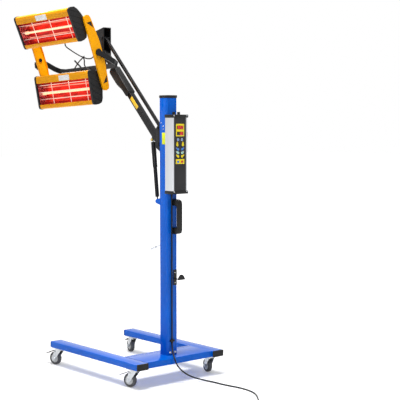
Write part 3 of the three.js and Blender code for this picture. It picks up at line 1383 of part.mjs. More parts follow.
// Closed tube of straight facets round a list of centre points
function sweptTube(points, radius, sides) {
    const positions = [];
    const index = [];
    const up = new THREE.Vector3(0, 0, 1);
    points.forEach((point, i) => {
        const before = points[Math.max(i - 1, 0)];
        const after = points[Math.min(i + 1, points.length - 1)];
        const along = after.clone().sub(before).normalize();
        const across = new THREE.Vector3().crossVectors(up, along).normalize();
        const high = new THREE.Vector3().crossVectors(along, across);
        for (let k = 0; k < sides; k += 1) {
            const angle = k / sides * 2 * Math.PI;
            const spot = point.clone().addScaledVector(across, radius * Math.cos(angle))
                .addScaledVector(high, radius * Math.sin(angle));
            positions.push(spot.x, spot.y, spot.z);
        }
    });
    for (let i = 0; i < points.length - 1; i += 1) {
        for (let k = 0; k < sides; k += 1) {
            const a = i * sides + k;
            const b = i * sides + (k + 1) % sides;
            index.push(a, b, b + sides, a, b + sides, a + sides);
        }
    }
    const endRing = (points.length - 1) * sides;
    for (let k = 1; k < sides - 1; k += 1) {
        index.push(0, k + 1, k, endRing, endRing + k, endRing + k + 1);
    }
    const geometry = new THREE.BufferGeometry();
    geometry.setAttribute('position', new THREE.Float32BufferAttribute(positions, 3));
    geometry.setIndex(index);
    return geometry;
}

// Least distance between parts of the coil that are more than half a turn apart
function leastGap(points, diameter) {
    let least = Infinity;
    const apart = coilStepsPerTurn / 2;
    const fine = [];
    for (let i = 0; i < points.length - 1; i += 1) {
        fine.push(points[i], points[i].clone().lerp(points[i + 1], 0.5));
    }
    for (let i = 0; i < fine.length; i += 1) {
        for (let j = i + apart * 2; j < fine.length; j += 1) {
            least = Math.min(least, fine[i].distanceTo(fine[j]));
        }
    }
    return least - diameter;
}

const coil = coilPath();
console.log(`coil: least gap to itself ${leastGap(coil.points, cordDiameter).toFixed(2)} mm`);
const coilLength = coil.points.slice(1).reduce((sum, point, i) => sum + point.distanceTo(coil.points[i]), 0);
console.log(`cord: ${(cordCurve.getLength() + coilLength).toFixed(0)} mm from the clip to the plug`);

// Plug, drawn along +z from the cord's end: neck, body and two round pins
function plug() {
    const profile = [
        [0, gap], [cordDiameter / 2 + 1, gap], [plugNeckRadius, plugNeckLength],
        [plugRadius - 2, plugNeckLength + 4], [plugRadius, plugNeckLength + 8],
        [plugRadius, plugNeckLength + plugBodyLength - 2], [plugRadius - 2, plugNeckLength + plugBodyLength],
        [0, plugNeckLength + plugBodyLength],
    ].map(([r, z]) => new THREE.Vector2(r, z));
    const body = new THREE.LatheGeometry(profile, turnedFacets);
    body.rotateX(Math.PI / 2);
    const face = plugNeckLength + plugBodyLength;
    const pins = [1, -1].map((side) => rod('z', plugPinRadius, face - plugPinRadius, face + plugPinLength,
        [side * plugPinSpacing / 2, 0], smallFacets));
    return join(body, ...pins);
}

piece(cords, 'cord', freeCord(), 'blackRubber');
piece(cords, 'cord_coil', sweptTube(coil.points, cordDiameter / 2, coilSides), 'blackRubber');
const plugGroup = new THREE.Group();
plugGroup.position.copy(coil.points[coil.points.length - 1]);
plugGroup.quaternion.setFromUnitVectors(new THREE.Vector3(0, 0, 1), coil.tangent);
cords.add(plugGroup);
piece(plugGroup, 'plug', plug(), 'blackRubber');

// The origin goes under the middle of the machine, its cord left out
machine.updateMatrixWorld(true);
const bounds = new THREE.Box3().setFromObject(machine, true);
const centre = bounds.getCenter(new THREE.Vector3());
const lamp = new THREE.Group();
lamp.add(machine, cords);
lamp.position.set(-centre.x, -centre.y, -bounds.min.z);
console.log(`mast centre at ${(-centre.x).toFixed(3)}, ${(-centre.y).toFixed(3)}, floor ${bounds.min.z.toFixed(3)}`);

export default lamp;
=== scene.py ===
import json
import math

import bmesh
import bpy
from mathutils import Matrix, Vector

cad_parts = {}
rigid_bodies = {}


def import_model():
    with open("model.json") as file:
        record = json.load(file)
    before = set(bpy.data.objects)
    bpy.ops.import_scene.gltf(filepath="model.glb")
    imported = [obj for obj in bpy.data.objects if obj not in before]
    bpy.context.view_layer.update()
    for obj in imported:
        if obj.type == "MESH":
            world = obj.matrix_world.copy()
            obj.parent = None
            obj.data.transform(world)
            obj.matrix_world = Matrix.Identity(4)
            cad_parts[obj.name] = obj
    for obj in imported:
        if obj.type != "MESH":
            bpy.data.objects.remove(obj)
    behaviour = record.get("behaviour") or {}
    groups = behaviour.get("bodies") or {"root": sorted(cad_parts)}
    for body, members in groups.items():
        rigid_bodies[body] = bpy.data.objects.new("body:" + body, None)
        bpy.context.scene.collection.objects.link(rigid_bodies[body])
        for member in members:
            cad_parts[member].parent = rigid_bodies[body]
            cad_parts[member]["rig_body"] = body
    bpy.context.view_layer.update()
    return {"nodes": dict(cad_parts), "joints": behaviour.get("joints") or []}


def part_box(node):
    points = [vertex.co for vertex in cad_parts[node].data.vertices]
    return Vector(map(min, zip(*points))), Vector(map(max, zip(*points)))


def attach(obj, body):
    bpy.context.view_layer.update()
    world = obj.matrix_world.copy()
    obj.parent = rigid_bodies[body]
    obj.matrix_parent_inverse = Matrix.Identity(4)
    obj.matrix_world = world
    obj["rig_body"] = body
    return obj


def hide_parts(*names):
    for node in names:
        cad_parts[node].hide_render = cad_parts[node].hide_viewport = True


# Infrared paint curing lamp: finishes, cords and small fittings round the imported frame, +Z up

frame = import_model()

# Blender works in metres. Lengths named here are millimetres and angles degrees, unless a name ends in _M.
MM = 0.001
RIGHT, LEFT, REAR, DOWN = (1, 0, 0), (-1, 0, 0), (0, -1, 0), (0, 0, -1)

# Mast frame: millimetres from the middle of the mast's foot, +Y towards the front
MAST_SIZE = 70
mast_low, mast_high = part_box("mast")
MAST_FOOT = Vector(((mast_low.x + mast_high.x) / 2, mast_low.y + MAST_SIZE * MM / 2, 0))


def place(point):
    """A point of the mast frame, in metres."""
    return MAST_FOOT + Vector(point) * MM


def mm(*values):
    """A size or a step given in millimetres, in metres."""
    return Vector(values) * MM


def turned(degrees, axis):
    return Matrix.Rotation(math.radians(degrees), 4, axis)


def laid_along(axis):
    """The turn that lays +Z along an axis."""
    return Vector(axis).to_track_quat("Z", "Y").to_matrix().to_4x4()


def joint(name):
    """The frame's own row for a joint."""
    return next(row for row in frame["joints"] if row["name"] == name)


# Camera as the photograph was taken: it turns from +Y towards +X and dips below level
CAMERA_POINT = (-3726.6, -4584.1, 1413.5)
CAMERA_TURN = 40.765
CAMERA_DIP = 4.242
CAMERA_LENS = 99.0
CAMERA_REACH_M = 60


def make_camera():
    data = bpy.data.cameras.new("camera")
    data.lens = CAMERA_LENS
    data.clip_end = CAMERA_REACH_M
    camera = bpy.data.objects.new("camera", data)
    turn, dip = math.radians(CAMERA_TURN), math.radians(CAMERA_DIP)
    ahead = Vector((math.sin(turn) * math.cos(dip), math.cos(turn) * math.cos(dip), -math.sin(dip)))
    camera.rotation_mode = "QUATERNION"
    camera.rotation_quaternion = ahead.to_track_quat("-Z", "Y")
    camera.location = place(CAMERA_POINT)
    bpy.context.scene.collection.objects.link(camera)
    bpy.context.scene.camera = camera


make_camera()


# Materials: most of a noise's values lie in its span, and a Mix node keeps its colours in three sockets
NOISE_SPAN = (0.3, 0.7)
PATCH_DETAIL = 3.0
GRAIN_DETAIL = 2.0
COLOUR_A, COLOUR_B, COLOUR_OUT = 6, 7, 2


def linear(hex_colour):
    """An sRGB hex value such as 0x005cd7 as linear RGBA, by the standard curve."""
    parts = [(hex_colour >> shift & 255) / 255 for shift in (16, 8, 0)]
    return [c / 12.92 if c <= 0.04045 else ((c + 0.055) / 1.055) ** 2.4 for c in parts] + [1]


def add(tree, kind, values=None, **settings):
    """A node with its settings, and with each input set to a value or linked to a socket."""
    node = tree.nodes.new(kind)
    for setting, value in settings.items():
        setattr(node, setting, value)
    for socket, value in (values or {}).items():
        if isinstance(value, bpy.types.NodeSocket):
            tree.links.new(value, node.inputs[socket])
        else:
            node.inputs[socket].default_value = value
    return node


def blank(name):
    """An empty node material and its tree."""
    material = bpy.data.materials.new(name)
    material.use_nodes = True
    material.node_tree.nodes.clear()
    return material, material.node_tree


def mottle(tree, where, size_mm, detail, stretch):
    """Noise whose grains are size_mm across, drawn out along an axis where stretch is under 1."""
    mapped = add(tree, "ShaderNodeMapping", {"Vector": where, "Scale": stretch})
    return add(tree, "ShaderNodeTexNoise", {
        "Vector": mapped.outputs["Vector"], "Scale": 1 / (size_mm * MM), "Detail": detail})


def coating(name, dark, light, roughness, grain_mm, grain_depth_mm, patch_mm, metallic=0.0, gloss=0.5,
            turn=(0, 0, 0), stretch=(1, 1, 1), contrast=(0.0, 1.0), glow=None):
    """A surface whose colour drifts in patches and whose grain catches the light.

    turn and stretch set the axes of both patterns and draw them out, contrast widens or narrows the
    drift of the colour, and glow holds the colour and strength of the light that the surface gives.
    """
    material, tree = blank(name)
    spot = add(tree, "ShaderNodeTexCoord").outputs["Object"]
    where = add(tree, "ShaderNodeMapping", {"Vector": spot, "Rotation": turn}).outputs["Vector"]
    patches = mottle(tree, where, patch_mm, PATCH_DETAIL, stretch).outputs["Fac"]
    drift = add(tree, "ShaderNodeMapRange", {
        "Value": patches, "From Min": NOISE_SPAN[0], "From Max": NOISE_SPAN[1],
        "To Min": contrast[0], "To Max": contrast[1]})
    colour = add(tree, "ShaderNodeMix", {
        "Factor": drift.outputs["Result"], COLOUR_A: linear(dark), COLOUR_B: linear(light)},
        data_type="RGBA")
    grain = mottle(tree, where, grain_mm, GRAIN_DETAIL, stretch).outputs["Fac"]
    rough = add(tree, "ShaderNodeMapRange", {
        "Value": grain, "From Min": NOISE_SPAN[0], "From Max": NOISE_SPAN[1],
        "To Min": roughness[0], "To Max": roughness[1]})
    bump = add(tree, "ShaderNodeBump", {"Height": grain, "Strength": 1.0, "Distance": grain_depth_mm * MM})
    shader = add(tree, "ShaderNodeBsdfPrincipled", {
        "Base Color": colour.outputs[COLOUR_OUT], "Roughness": rough.outputs["Result"],
        "Normal": bump.outputs["Normal"], "Metallic": metallic, "Specular IOR Level": gloss})
    if glow:
        shader.inputs["Emission Color"].default_value = linear(glow[0])
        shader.inputs["Emission Strength"].default_value = glow[1]
    add(tree, "ShaderNodeOutputMaterial", {"Surface": shader.outputs["BSDF"]})
    return material


# Finishes: dark and light colour, span of roughness, width and depth of the grain, width of the patches

# Powder coat on welded steel tube: an even, glossy blue, with its fine orange peel drawn at a coarse 5 mm
blue_coat = coating("blue_powder_coat", 0x0057C0, 0x0062D2, (0.12, 0.2), 5, 0.01, 220, gloss=0.14)
# The same process on the head's sheet metal: a warm yellow with a softer shine, its peel drawn at 4 mm
yellow_coat = coating("yellow_powder_coat", 0xEC9A00, 0xF4A804, (0.24, 0.34), 4, 0.015, 160, gloss=0.14)
# Semi-gloss black powder coat on the arm, yoke and brackets: long soft highlights over a deeper peel
black_coat = coating("black_powder_coat", 0x0A0A0B, 0x141416, (0.2, 0.34), 4, 0.03, 120, gloss=0.22)
# Moulded glass-filled nylon: its spark texture spreads the highlight, and is drawn coarser than real
black_nylon = coating("moulded_black_nylon", 0x0D0D0D, 0x171718, (0.4, 0.52), 1.6, 0.05, 80, gloss=0.25)
# Embossed foil of the control panel: a matt dark grey, with its emboss drawn coarser than real
panel_foil = coating("dark_grey_panel_foil", 0x242426, 0x2E2E30, (0.4, 0.5), 1.2, 0.02, 90, gloss=0.25)
# Anodised aluminium extrusion: satin silver whose die lines run along its length, drawn coarser than real
aluminium = coating("anodised_aluminium_extrusion", 0xB8BABE, 0xCCCED2, (0.28, 0.4), 1.5, 0.01, 120,
                    metallic=1.0, stretch=(1, 1, 0.03))
# Zinc plating on pressed steel: bluish grey with cloudy patches and an uneven shine
zinc = coating("bright_zinc_plate", 0xA9ADB2, 0xC6C9CC, (0.22, 0.4), 9, 0.02, 14, metallic=1.0)
# Hard chrome on the strut's rod and the lock lever: nearly a mirror, with a faint slow waviness
chrome = coating("hard_chrome", 0xC4C7CA, 0xD6D8DB, (0.05, 0.1), 12, 0.003, 40, metallic=1.0)
# Thermoplastic rubber tyre: a dull grey that looks slightly scuffed
tyre_rubber = coating("grey_rubber_tyre", 0x3C3D40, 0x56575A, (0.62, 0.8), 2.5, 0.06, 18)
# Moulded polypropylene of the castor hubs: a pale, waxy grey with a soft highlight
hub_plastic = coating("grey_polypropylene_hub", 0xB4B6B8, 0xCDCFD0, (0.45, 0.6), 2.0, 0.03, 25)
# Extruded PVC of the cables and moulded PVC of the plug: a smooth satin black
cable_pvc = coating("black_pvc_sheath", 0x0E0E0F, 0x191919, (0.38, 0.5), 3, 0.02, 30, gloss=0.25)
# Yellow passivated zinc of the strut's upper pin: a pale brassy film that changes colour in small patches
yellow_zinc = coating("yellow_passivated_zinc", 0xB49A3C, 0xDCC468, (0.25, 0.4), 5, 0.02, 8, metallic=1.0)
# Moulded signal plastics of the main switch: strong even colours with a clean highlight
signal_yellow = coating("yellow_switch_plastic", 0xF2C400, 0xFFD60A, (0.3, 0.4), 2, 0.01, 20)
signal_red = coating("red_switch_plastic", 0xB81410, 0xD02018, (0.25, 0.35), 2, 0.01, 20)
# Inks under the keypad's satin film: flat bright colours, with the film's grain drawn coarser than real
ink_yellow = coating("yellow_membrane_ink", 0xF6D800, 0xFFEA10, (0.35, 0.45), 1, 0.01, 20)
ink_blue = coating("blue_membrane_ink", 0x2E6FC8, 0x4A8CDC, (0.35, 0.45), 1, 0.01, 12)
ink_mint = coating("pale_green_membrane_ink", 0xA9D8C4, 0xC8ECDC, (0.35, 0.45), 1, 0.01, 12)
ink_red = coating("red_membrane_ink", 0xC01A1C, 0xD8282A, (0.3, 0.4), 1, 0.01, 12)
# Smoked acrylic window over the display: a nearly black red with a sharp reflection
display_window = coating("smoked_acrylic_window", 0x120406, 0x1A0608, (0.06, 0.1), 8, 0.004, 30)
# Light emitting segments: a clear red that glows evenly
lit_segment = coating("lit_red_segment", 0xFF2A20, 0xFF3A2A, (0.3, 0.4), 2, 0.001, 10, glow=(0xFF2A20, 0.9))
# Quartz tube with its glowing filament: a pale orange light under a glassy shine
hot_quartz = coating("glowing_quartz_tube", 0xFFB48A, 0xFFD2B0, (0.1, 0.16), 6, 0.01, 12,
                     glow=(0xFFB98C, 1.3))
# Drawn stainless wire that stands before the glow: bright, with its warm tint and faint glow painted in as
# the tube's light on it
guard_wire_painted_glow = coating("stainless_guard_wire", 0xE8C8B8, 0xF4DACA, (0.2, 0.3), 3, 0.004, 20, metallic=1.0,
                     glow=(0xFFD0B8, 0.12))
# Blank polyester labels in white, yellow and lime: satin and flat, with grain drawn coarser than real
blank_label = coating("blank_white_label", 0xE9EAEC, 0xF6F6F7, (0.35, 0.45), 2, 0.01, 30)
yellow_label = coating("blank_yellow_label", 0xE8B820, 0xF4C830, (0.35, 0.45), 2, 0.01, 30)
lime_label = coating("blank_lime_label", 0xD8E400, 0xE8F010, (0.35, 0.45), 2, 0.01, 30)


# Pieces: the angle past which an edge stays sharp, and how copied nodes are cleaned and their edges broken
SHARP_ANGLE = 35
TURNED_SHARP_ANGLE = 30
MERGE = 0.001
NODE_MERGE = 0.01
NODE_FLAT_ANGLE = 0.6
BROKEN_EDGE_ANGLE = 40
EDGE_STEPS = 2
ROUND_PROFILE = 0.5


def put(name, mesh, material, body, sharp=SHARP_ANGLE):
    """Links a mesh as a piece that rides on a body, smooth apart from its sharp edges."""
    piece = bpy.data.objects.new(name, mesh)
    bpy.context.scene.collection.objects.link(piece)
    mesh.materials.append(material)
    mesh.shade_smooth()
    mesh.set_sharp_from_angle(angle=math.radians(sharp))
    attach(piece, body)
    return piece


def mesh_from(bm, name):
    """A mesh whose faces point outwards."""
    mesh = bpy.data.meshes.new(name)
    bmesh.ops.recalc_face_normals(bm, faces=bm.faces)
    bm.to_mesh(mesh)
    bm.free()
    return mesh


def put_shape(name, bm, material, body, sharp=SHARP_ANGLE):
    """Makes a piece of what a bmesh holds."""
    return put(name, mesh_from(bm, name), material, body, sharp)


def lathe(bm, profile, steps, matrix, index=0):
    """Adds a turned shape. Its profile, in millimetres, is closed or starts and ends on the axis."""
    angles = [2 * math.pi * i / steps for i in range(steps)]
    rings = []
    for radius, height in profile:
        spots = [(math.cos(a), math.sin(a)) for a in angles] if radius else [(0, 0)]
        rings.append([bm.verts.new(matrix @ Vector((radius * MM * x, radius * MM * y, height * MM)))
                      for x, y in spots])
    for lower, upper in zip(rings, rings[1:]):
        for i in range(steps):
            k = (i + 1) % steps
            corners = [lower[i % len(lower)], lower[k % len(lower)],
                       upper[k % len(upper)], upper[i % len(upper)]]
            unique = list(dict.fromkeys(corners))
            if len(unique) > 2:
                bm.faces.new(unique).material_index = index


def block(bm, centre, size, matrix=Matrix.Identity(4), bevel=0.0):
    """Adds a box, with its edges rounded where a bevel is given, all in metres."""
    corners = bmesh.ops.create_cube(bm, size=1.0)["verts"]
    for corner in corners:
        corner.co = matrix @ (Vector(centre) + Vector(c * s for c, s in zip(corner.co, size)))
    if bevel:
        edges = list({edge for corner in corners for edge in corner.link_edges})
        bmesh.ops.bevel(bm, geom=edges, offset=bevel, segments=EDGE_STEPS, affect="EDGES",
                        profile=ROUND_PROFILE)


def prism(bm, near, far):
    """Adds a closed shape between two outlines that have the same number of corners."""
    rings = [[bm.verts.new(spot) for spot in outline] for outline in (near, far)]
    bm.faces.new(rings[0])
    bm.faces.new(rings[1])
    for i in range(len(near)):
        k = (i + 1) % len(near)
        bm.faces.new((rings[0][i], rings[0][k], rings[1][k], rings[1][i]))


def finish_node(node, material, edge_mm):
    """A copy of a node with merged corners and softly broken edges, which stands for it."""
    bm = bmesh.new()
    bm.from_mesh(frame["nodes"][node].data)
    bmesh.ops.remove_doubles(bm, verts=bm.verts, dist=NODE_MERGE * MM)
    bmesh.ops.dissolve_limit(bm, angle_limit=math.radians(NODE_FLAT_ANGLE), verts=bm.verts, edges=bm.edges)
    mesh = bpy.data.meshes.new(node + "_surface")
    bm.to_mesh(mesh)
    bm.free()
    piece = put(node + "_surface", mesh, material, frame["nodes"][node]["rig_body"])
    if edge_mm:
        soft = piece.modifiers.new("broken_edges", "BEVEL")
        soft.width = edge_mm * MM
        soft.segments = EDGE_STEPS
        soft.limit_method = "ANGLE"
        soft.angle_limit = math.radians(BROKEN_EDGE_ANGLE)
        soft.harden_normals = True
    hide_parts(node)
    return piece


CASTORS = ("front_left", "front_right", "rear_left", "rear_right")
CASSETTES = ("upper", "lower")
# Each row: a finish, its slot in the record, the width of its broken edges, and the nodes that have it
NODE_FINISHES = (
    (blue_coat, "blue_paint", 1.2, ("left_leg", "right_leg", "cross_box", "mast")),
    (black_nylon, "black_plastic", 1.0, (
        "front_left_leg_cap", "rear_left_leg_cap", "front_right_leg_cap", "rear_right_leg_cap", "mast_cap",
        "push_handle", "cord_clip", "controller_top_cap", "controller_bottom_cap", "arm_cover", "lock_block",
        "friction_knob", "swivel_lever", "front_left_brake_pedal", "front_right_brake_pedal",
        "rear_left_brake_pedal", "upper_left_cap", "upper_right_cap", "lower_left_cap", "lower_right_cap")),
    (zinc, "zinc_plated_steel", 0.5, tuple(castor + "_fork" for castor in CASTORS)),
    (black_coat, "black_paint", 0.8, ("cable_hook", "lower_arm", "upper_link", "arm_bracket", "end_bracket",
                                      "yoke", "swivel_block", "strut_cylinder")),
    (yellow_coat, "yellow_paint", 0.7, ("left_side_bar", "right_side_bar", "upper_housing", "lower_housing")),
    (chrome, "chromed_steel", 0.3, ("strut_rod", "lock_lever")),
    (aluminium, "anodised_aluminium", 0.5, ("controller_case",)),
    (panel_foil, "panel_plastic", 0.3, ("control_panel",)),
    (signal_yellow, "yellow_plastic", 0.6, ("switch_plate",)),
    (signal_red, "red_plastic", 0.6, ("switch_knob",)),
    (cable_pvc, "black_rubber", 0.0, ("mast_lead", "plug")),
    (hot_quartz, "quartz_glass", 0.0, ("upper_emitter", "lower_emitter")),
    (guard_wire_painted_glow, "bright_steel_wire", 0.0, ("upper_guard", "lower_guard")),
)
for material, slot, edge_mm, nodes in NODE_FINISHES:
    for node in nodes:
        finish_node(node, material, edge_mm)


# Castor wheels: a crowned tyre on a dished hub that turns on the fork's axle
WHEEL_RADIUS = 37.5
WHEEL_WIDTH = 26
WHEEL_STEPS = 64
# Half of each outline, as a radius and a distance in from the wheel's side
TYRE_OUTLINE = ((24.5, 3.5), (27, 1), (33, 1), (36, 3), (WHEEL_RADIUS, 7))
HUB_OUTLINE = ((5.4, 0.8), (9, 0.8), (10.5, 2.5), (20, 4.2), (22.5, 2.2), (24.3, 2.6))


def both_sides(outline):
    """The whole closed outline of a ring, from the half that is given."""
    half = WHEEL_WIDTH / 2
    near = [(radius, -half + inset) for radius, inset in outline]
    far = [(radius, half - inset) for radius, inset in reversed(outline)]
    return near + far + near[:1]


def castor_wheel(castor):
    low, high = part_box(castor + "_wheel")
    centre = Vector(((low.x + high.x) / 2, (low.y + high.y) / 2, WHEEL_RADIUS * MM))
    matrix = Matrix.Translation(centre) @ laid_along(joint(castor + "_wheel_spin")["axis"])
    bm = bmesh.new()
    for index, outline in enumerate((TYRE_OUTLINE, HUB_OUTLINE)):
        lathe(bm, both_sides(outline), WHEEL_STEPS, matrix, index)
    bmesh.ops.remove_doubles(bm, verts=bm.verts, dist=MERGE * MM)
    piece = put_shape(castor + "_wheel_turned", bm, tyre_rubber, castor + "_roller",
                      TURNED_SHARP_ANGLE)
    piece.data.materials.append(hub_plastic)
    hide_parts(castor + "_wheel")


for castor in CASTORS:
    castor_wheel(castor)


# Mains cord: the route of the frame's own cord, in the mast frame, then the coil by its own rule
CORD_DIAMETER = 8
CORD_ROUTE = [
    (-8, -39.6, 199.7), (-8, -39.6, 193.7), (-8.4, -40.6, 185.8), (-10.7, -45, 172.8),
    (-15.3, -52.9, 162.3), (-21.6, -63.2, 155.2), (-28.4, -74.4, 150.5), (-35, -86, 146.3),
    (-40.8, -97.4, 140.5), (-45.1, -108.6, 130.1), (-44.4, -115.8, 116.1), (-38.2, -118.8, 101.7),
    (-28.9, -119.9, 88.8), (-18.4, -121.2, 76.8), (-7.4, -123.9, 65.5), (9.9, -130.7, 50.4),
    (28.4, -139.3, 37.8), (48, -148.4, 27.4), (68.4, -157.7, 18.9), (88.5, -168.9, 11.8),
    (105.4, -184.9, 6.8), (119.1, -224, 4.4), (121.6, -265.9, 4.3), (124.7, -307.7, 4.3),
    (130.9, -349.3, 4.3), (138.2, -390.6, 4.3), (142.1, -432.4, 4.3), (140.4, -474.3, 4.3),
    (132.8, -515.6, 4.3), (118.2, -554.9, 4.3), (97, -591.1, 4.3), (72.1, -624.9, 4.3),
    (45.6, -657.5, 4.3), (22.8, -692.8, 4.3), (6.2, -731.2, 4.3), (-3.3, -772.1, 4.3),
    (-5.5, -806, 4.3), (-5.5, -812, 4.3),
]
ROUTE_STEPS = 6
CABLE_ROUNDNESS = 3
COIL_LAYERS = 4
COIL_TURNS = 2.9
COIL_INNER_RADIUS = 34
COIL_PITCH = 8.6
COIL_STEPS = 24
# How far a climb swings past its layer's edge, and how far the coil lies above the floor
COIL_SWING = 1.5
COIL_LIFT = 0.3
COIL_TAIL = 60
COIL_TAIL_STEPS = 6
PLUG_RADIUS = 18.5
# The gap that the frame's own cord and coil keep where they meet
TOUCH_GAP = 0.3


def smooth_route(points, steps):
    """Points of a centripetal curve through the given ones."""
    ends = [2 * points[0] - points[1], *points, 2 * points[-1] - points[-2]]
    route = []
    for a, b, c, d in zip(ends, ends[1:], ends[2:], ends[3:]):
        before, here, after = [(q - p).length ** 0.5 for p, q in ((a, b), (b, c), (c, d))]
        leave = ((b - a) / before - (c - a) / (before + here) + (c - b) / here) * here
        arrive = ((c - b) / here - (d - b) / (here + after) + (d - c) / after) * here
        for i in range(steps):
            t = i / steps
            route.append(b * (2 * t ** 3 - 3 * t ** 2 + 1) + leave * (t ** 3 - 2 * t ** 2 + t)
                         + c * (3 * t ** 2 - 2 * t ** 3) + arrive * (t ** 3 - t ** 2))
    return route + [points[-1]]


def coil_route(end):
    """Layers that spiral in and out, each climbed to in half a turn, then a tail down to the plug."""
    outer = COIL_INNER_RADIUS + COIL_PITCH * COIL_TURNS
    start = Vector((end.x, end.y - TOUCH_GAP, end.z))
    points = [start, start - Vector((0, CORD_DIAMETER, 0))]
    centre = points[-1] - Vector((outer, 0, 0))
    bottom = CORD_DIAMETER / 2 + COIL_LIFT
    turn_step = 2 * math.pi / COIL_STEPS
    per_layer = round(COIL_TURNS * COIL_STEPS)
    climb = COIL_STEPS // 2
    angle = 0.0
    for layer in range(COIL_LAYERS):
        inward = layer % 2 == 0
        for i in range(1, per_layer + 1):
            angle += turn_step
            share = 1 - i / per_layer if inward else i / per_layer
            radius = COIL_INNER_RADIUS + (outer - COIL_INNER_RADIUS) * share
            points.append(Vector((centre.x + radius * math.cos(angle), centre.y - radius * math.sin(angle),
                                  bottom + layer * COIL_PITCH)))
        if layer == COIL_LAYERS - 1:
            break
        for i in range(1, climb + 1):
            angle += turn_step
            swing = COIL_SWING * math.sin(i / climb * math.pi) * (-1 if inward else 1)
            radius = (COIL_INNER_RADIUS if inward else outer) + swing
            points.append(Vector((centre.x + radius * math.cos(angle), centre.y - radius * math.sin(angle),
                                  bottom + (layer + i / climb) * COIL_PITCH)))
    last = points[-1]
    ahead = last - points[-2]
    ahead.z = 0
    ahead.normalize()
    fall = last.z - PLUG_RADIUS - COIL_LIFT
    for i in range(1, COIL_TAIL_STEPS + 1):
        share = i / COIL_TAIL_STEPS
        point = last + ahead * (COIL_TAIL * share)
        point.z = last.z - fall * share * share * (3 - 2 * share)
        points.append(point)
    points.append(points[-1] + ahead * CORD_DIAMETER)
    return points


def cable(name, points, diameter, body):
    """A round cable along points given in metres."""
    data = bpy.data.curves.new(name, "CURVE")
    data.dimensions = "3D"
    data.bevel_depth = diameter * MM / 2
    data.bevel_resolution = CABLE_ROUNDNESS
    data.use_fill_caps = True
    spline = data.splines.new("POLY")
    spline.points.add(len(points) - 1)
    for item, point in zip(spline.points, points):
        item.co = (*point, 1)
    spline.use_smooth = True
    data.materials.append(cable_pvc)
    piece = bpy.data.objects.new(name, data)
    bpy.context.scene.collection.objects.link(piece)
    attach(piece, body)
    return piece


laid = [Vector(point) for point in CORD_ROUTE]
cord_points = [place(point) for point in smooth_route(laid, ROUTE_STEPS) + coil_route(laid[-1])]
mains_cord = cable("mains_cord", cord_points, CORD_DIAMETER, "base")
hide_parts("cord", "cord_coil")


# Head: its own axes, x to the back, y along the cassettes, z up the side bars
HEAD_POINT = (-212, 630.4, 1762.0)
HEAD_YAW = 7
HEAD_ROLL = -3
HEAD_TILT = 17.9
CASSETTE_TILT = {"upper": 22.4, "lower": 8.6}
CASSETTE_BACK = -12
CASSETTE_UP = {"upper": 186, "lower": -186}
head_turn = turned(HEAD_YAW, "Z") @ turned(HEAD_ROLL, "X")
head_frame = Matrix.Translation(place(HEAD_POINT)) @ head_turn @ turned(-HEAD_TILT, "Y")


def cassette_frame(which):
    """A cassette's own axes: they lie as the head's do, with the cassette's tilt instead of the head's."""
    pivot = Matrix.Translation(head_frame @ mm(CASSETTE_BACK, 0, CASSETTE_UP[which]))
    return pivot @ head_turn @ turned(-CASSETTE_TILT[which], "Y")


# Reflectors: painted red reflection in streaks along the trough, and two bright painted reflections of the
# tube that the sheet's ripple breaks up
STREAK = (1, 0.12, 1)
EMITTER_UP = -6
REFLECTION_OFFSET = 33
REFLECTION_HALF_WIDTH = 5
PAINTED_GLOW_STRENGTH = 0.9
RIPPLE_SIZE = 14
RIPPLE_SPAN = (0.38, 0.58)
RIPPLE_LEAST = 0.25
REFLECTOR_EDGE = 0.3
# A face belongs to an end wall where its normal follows the cassette's length more than this share
END_WALL_SHARE = 0.9


def painted_emitter_reflections(material, matrix):
    """Adds a painted glow to the trough: two bright painted reflections of the tube fixed to the sheet, on a
    dark red painted glow elsewhere.
    """
    tree = material.node_tree
    back = matrix.inverted()
    where = add(tree, "ShaderNodeTexCoord").outputs["Object"]
    local = add(tree, "ShaderNodeMapping", {
        "Vector": where, "Location": tuple(back.translation), "Rotation": tuple(back.to_3x3().to_euler())})
    height = add(tree, "ShaderNodeSeparateXYZ", {"Vector": local.outputs["Vector"]}).outputs["Z"]
    centred = add(tree, "ShaderNodeMath", {0: height, 1: EMITTER_UP * MM}, operation="SUBTRACT")
    either = add(tree, "ShaderNodeMath", {0: centred.outputs[0]}, operation="ABSOLUTE")
    off = add(tree, "ShaderNodeMath", {0: either.outputs[0], 1: REFLECTION_OFFSET * MM}, operation="SUBTRACT")
    distance = add(tree, "ShaderNodeMath", {0: off.outputs[0]}, operation="ABSOLUTE")
    band = add(tree, "ShaderNodeMapRange", {
        "Value": distance.outputs[0], "From Min": 0.0, "From Max": REFLECTION_HALF_WIDTH * MM,
        "To Min": 1.0, "To Max": 0.0}, interpolation_type="SMOOTHSTEP")
    ripple = mottle(tree, local.outputs["Vector"], RIPPLE_SIZE, PATCH_DETAIL, STREAK).outputs["Fac"]
    broken = add(tree, "ShaderNodeMapRange", {
        "Value": ripple, "From Min": RIPPLE_SPAN[0], "From Max": RIPPLE_SPAN[1],
        "To Min": RIPPLE_LEAST, "To Max": 1.0})
    amount = add(tree, "ShaderNodeMath", {0: band.outputs["Result"], 1: broken.outputs["Result"]},
                 operation="MULTIPLY")
    # Painted glow: dark red over the whole trough, pale peach in the two painted reflections of the tube
    colour = add(tree, "ShaderNodeMix", {
        "Factor": amount.outputs[0], COLOUR_A: linear(0x5A0604), COLOUR_B: linear(0xFFC0A0)},
        data_type="RGBA")
    shader = next(node for node in tree.nodes if node.type == "BSDF_PRINCIPLED")
    tree.links.new(colour.outputs[COLOUR_OUT], shader.inputs["Emission Color"])
    shader.inputs["Emission Strength"].default_value = PAINTED_GLOW_STRENGTH


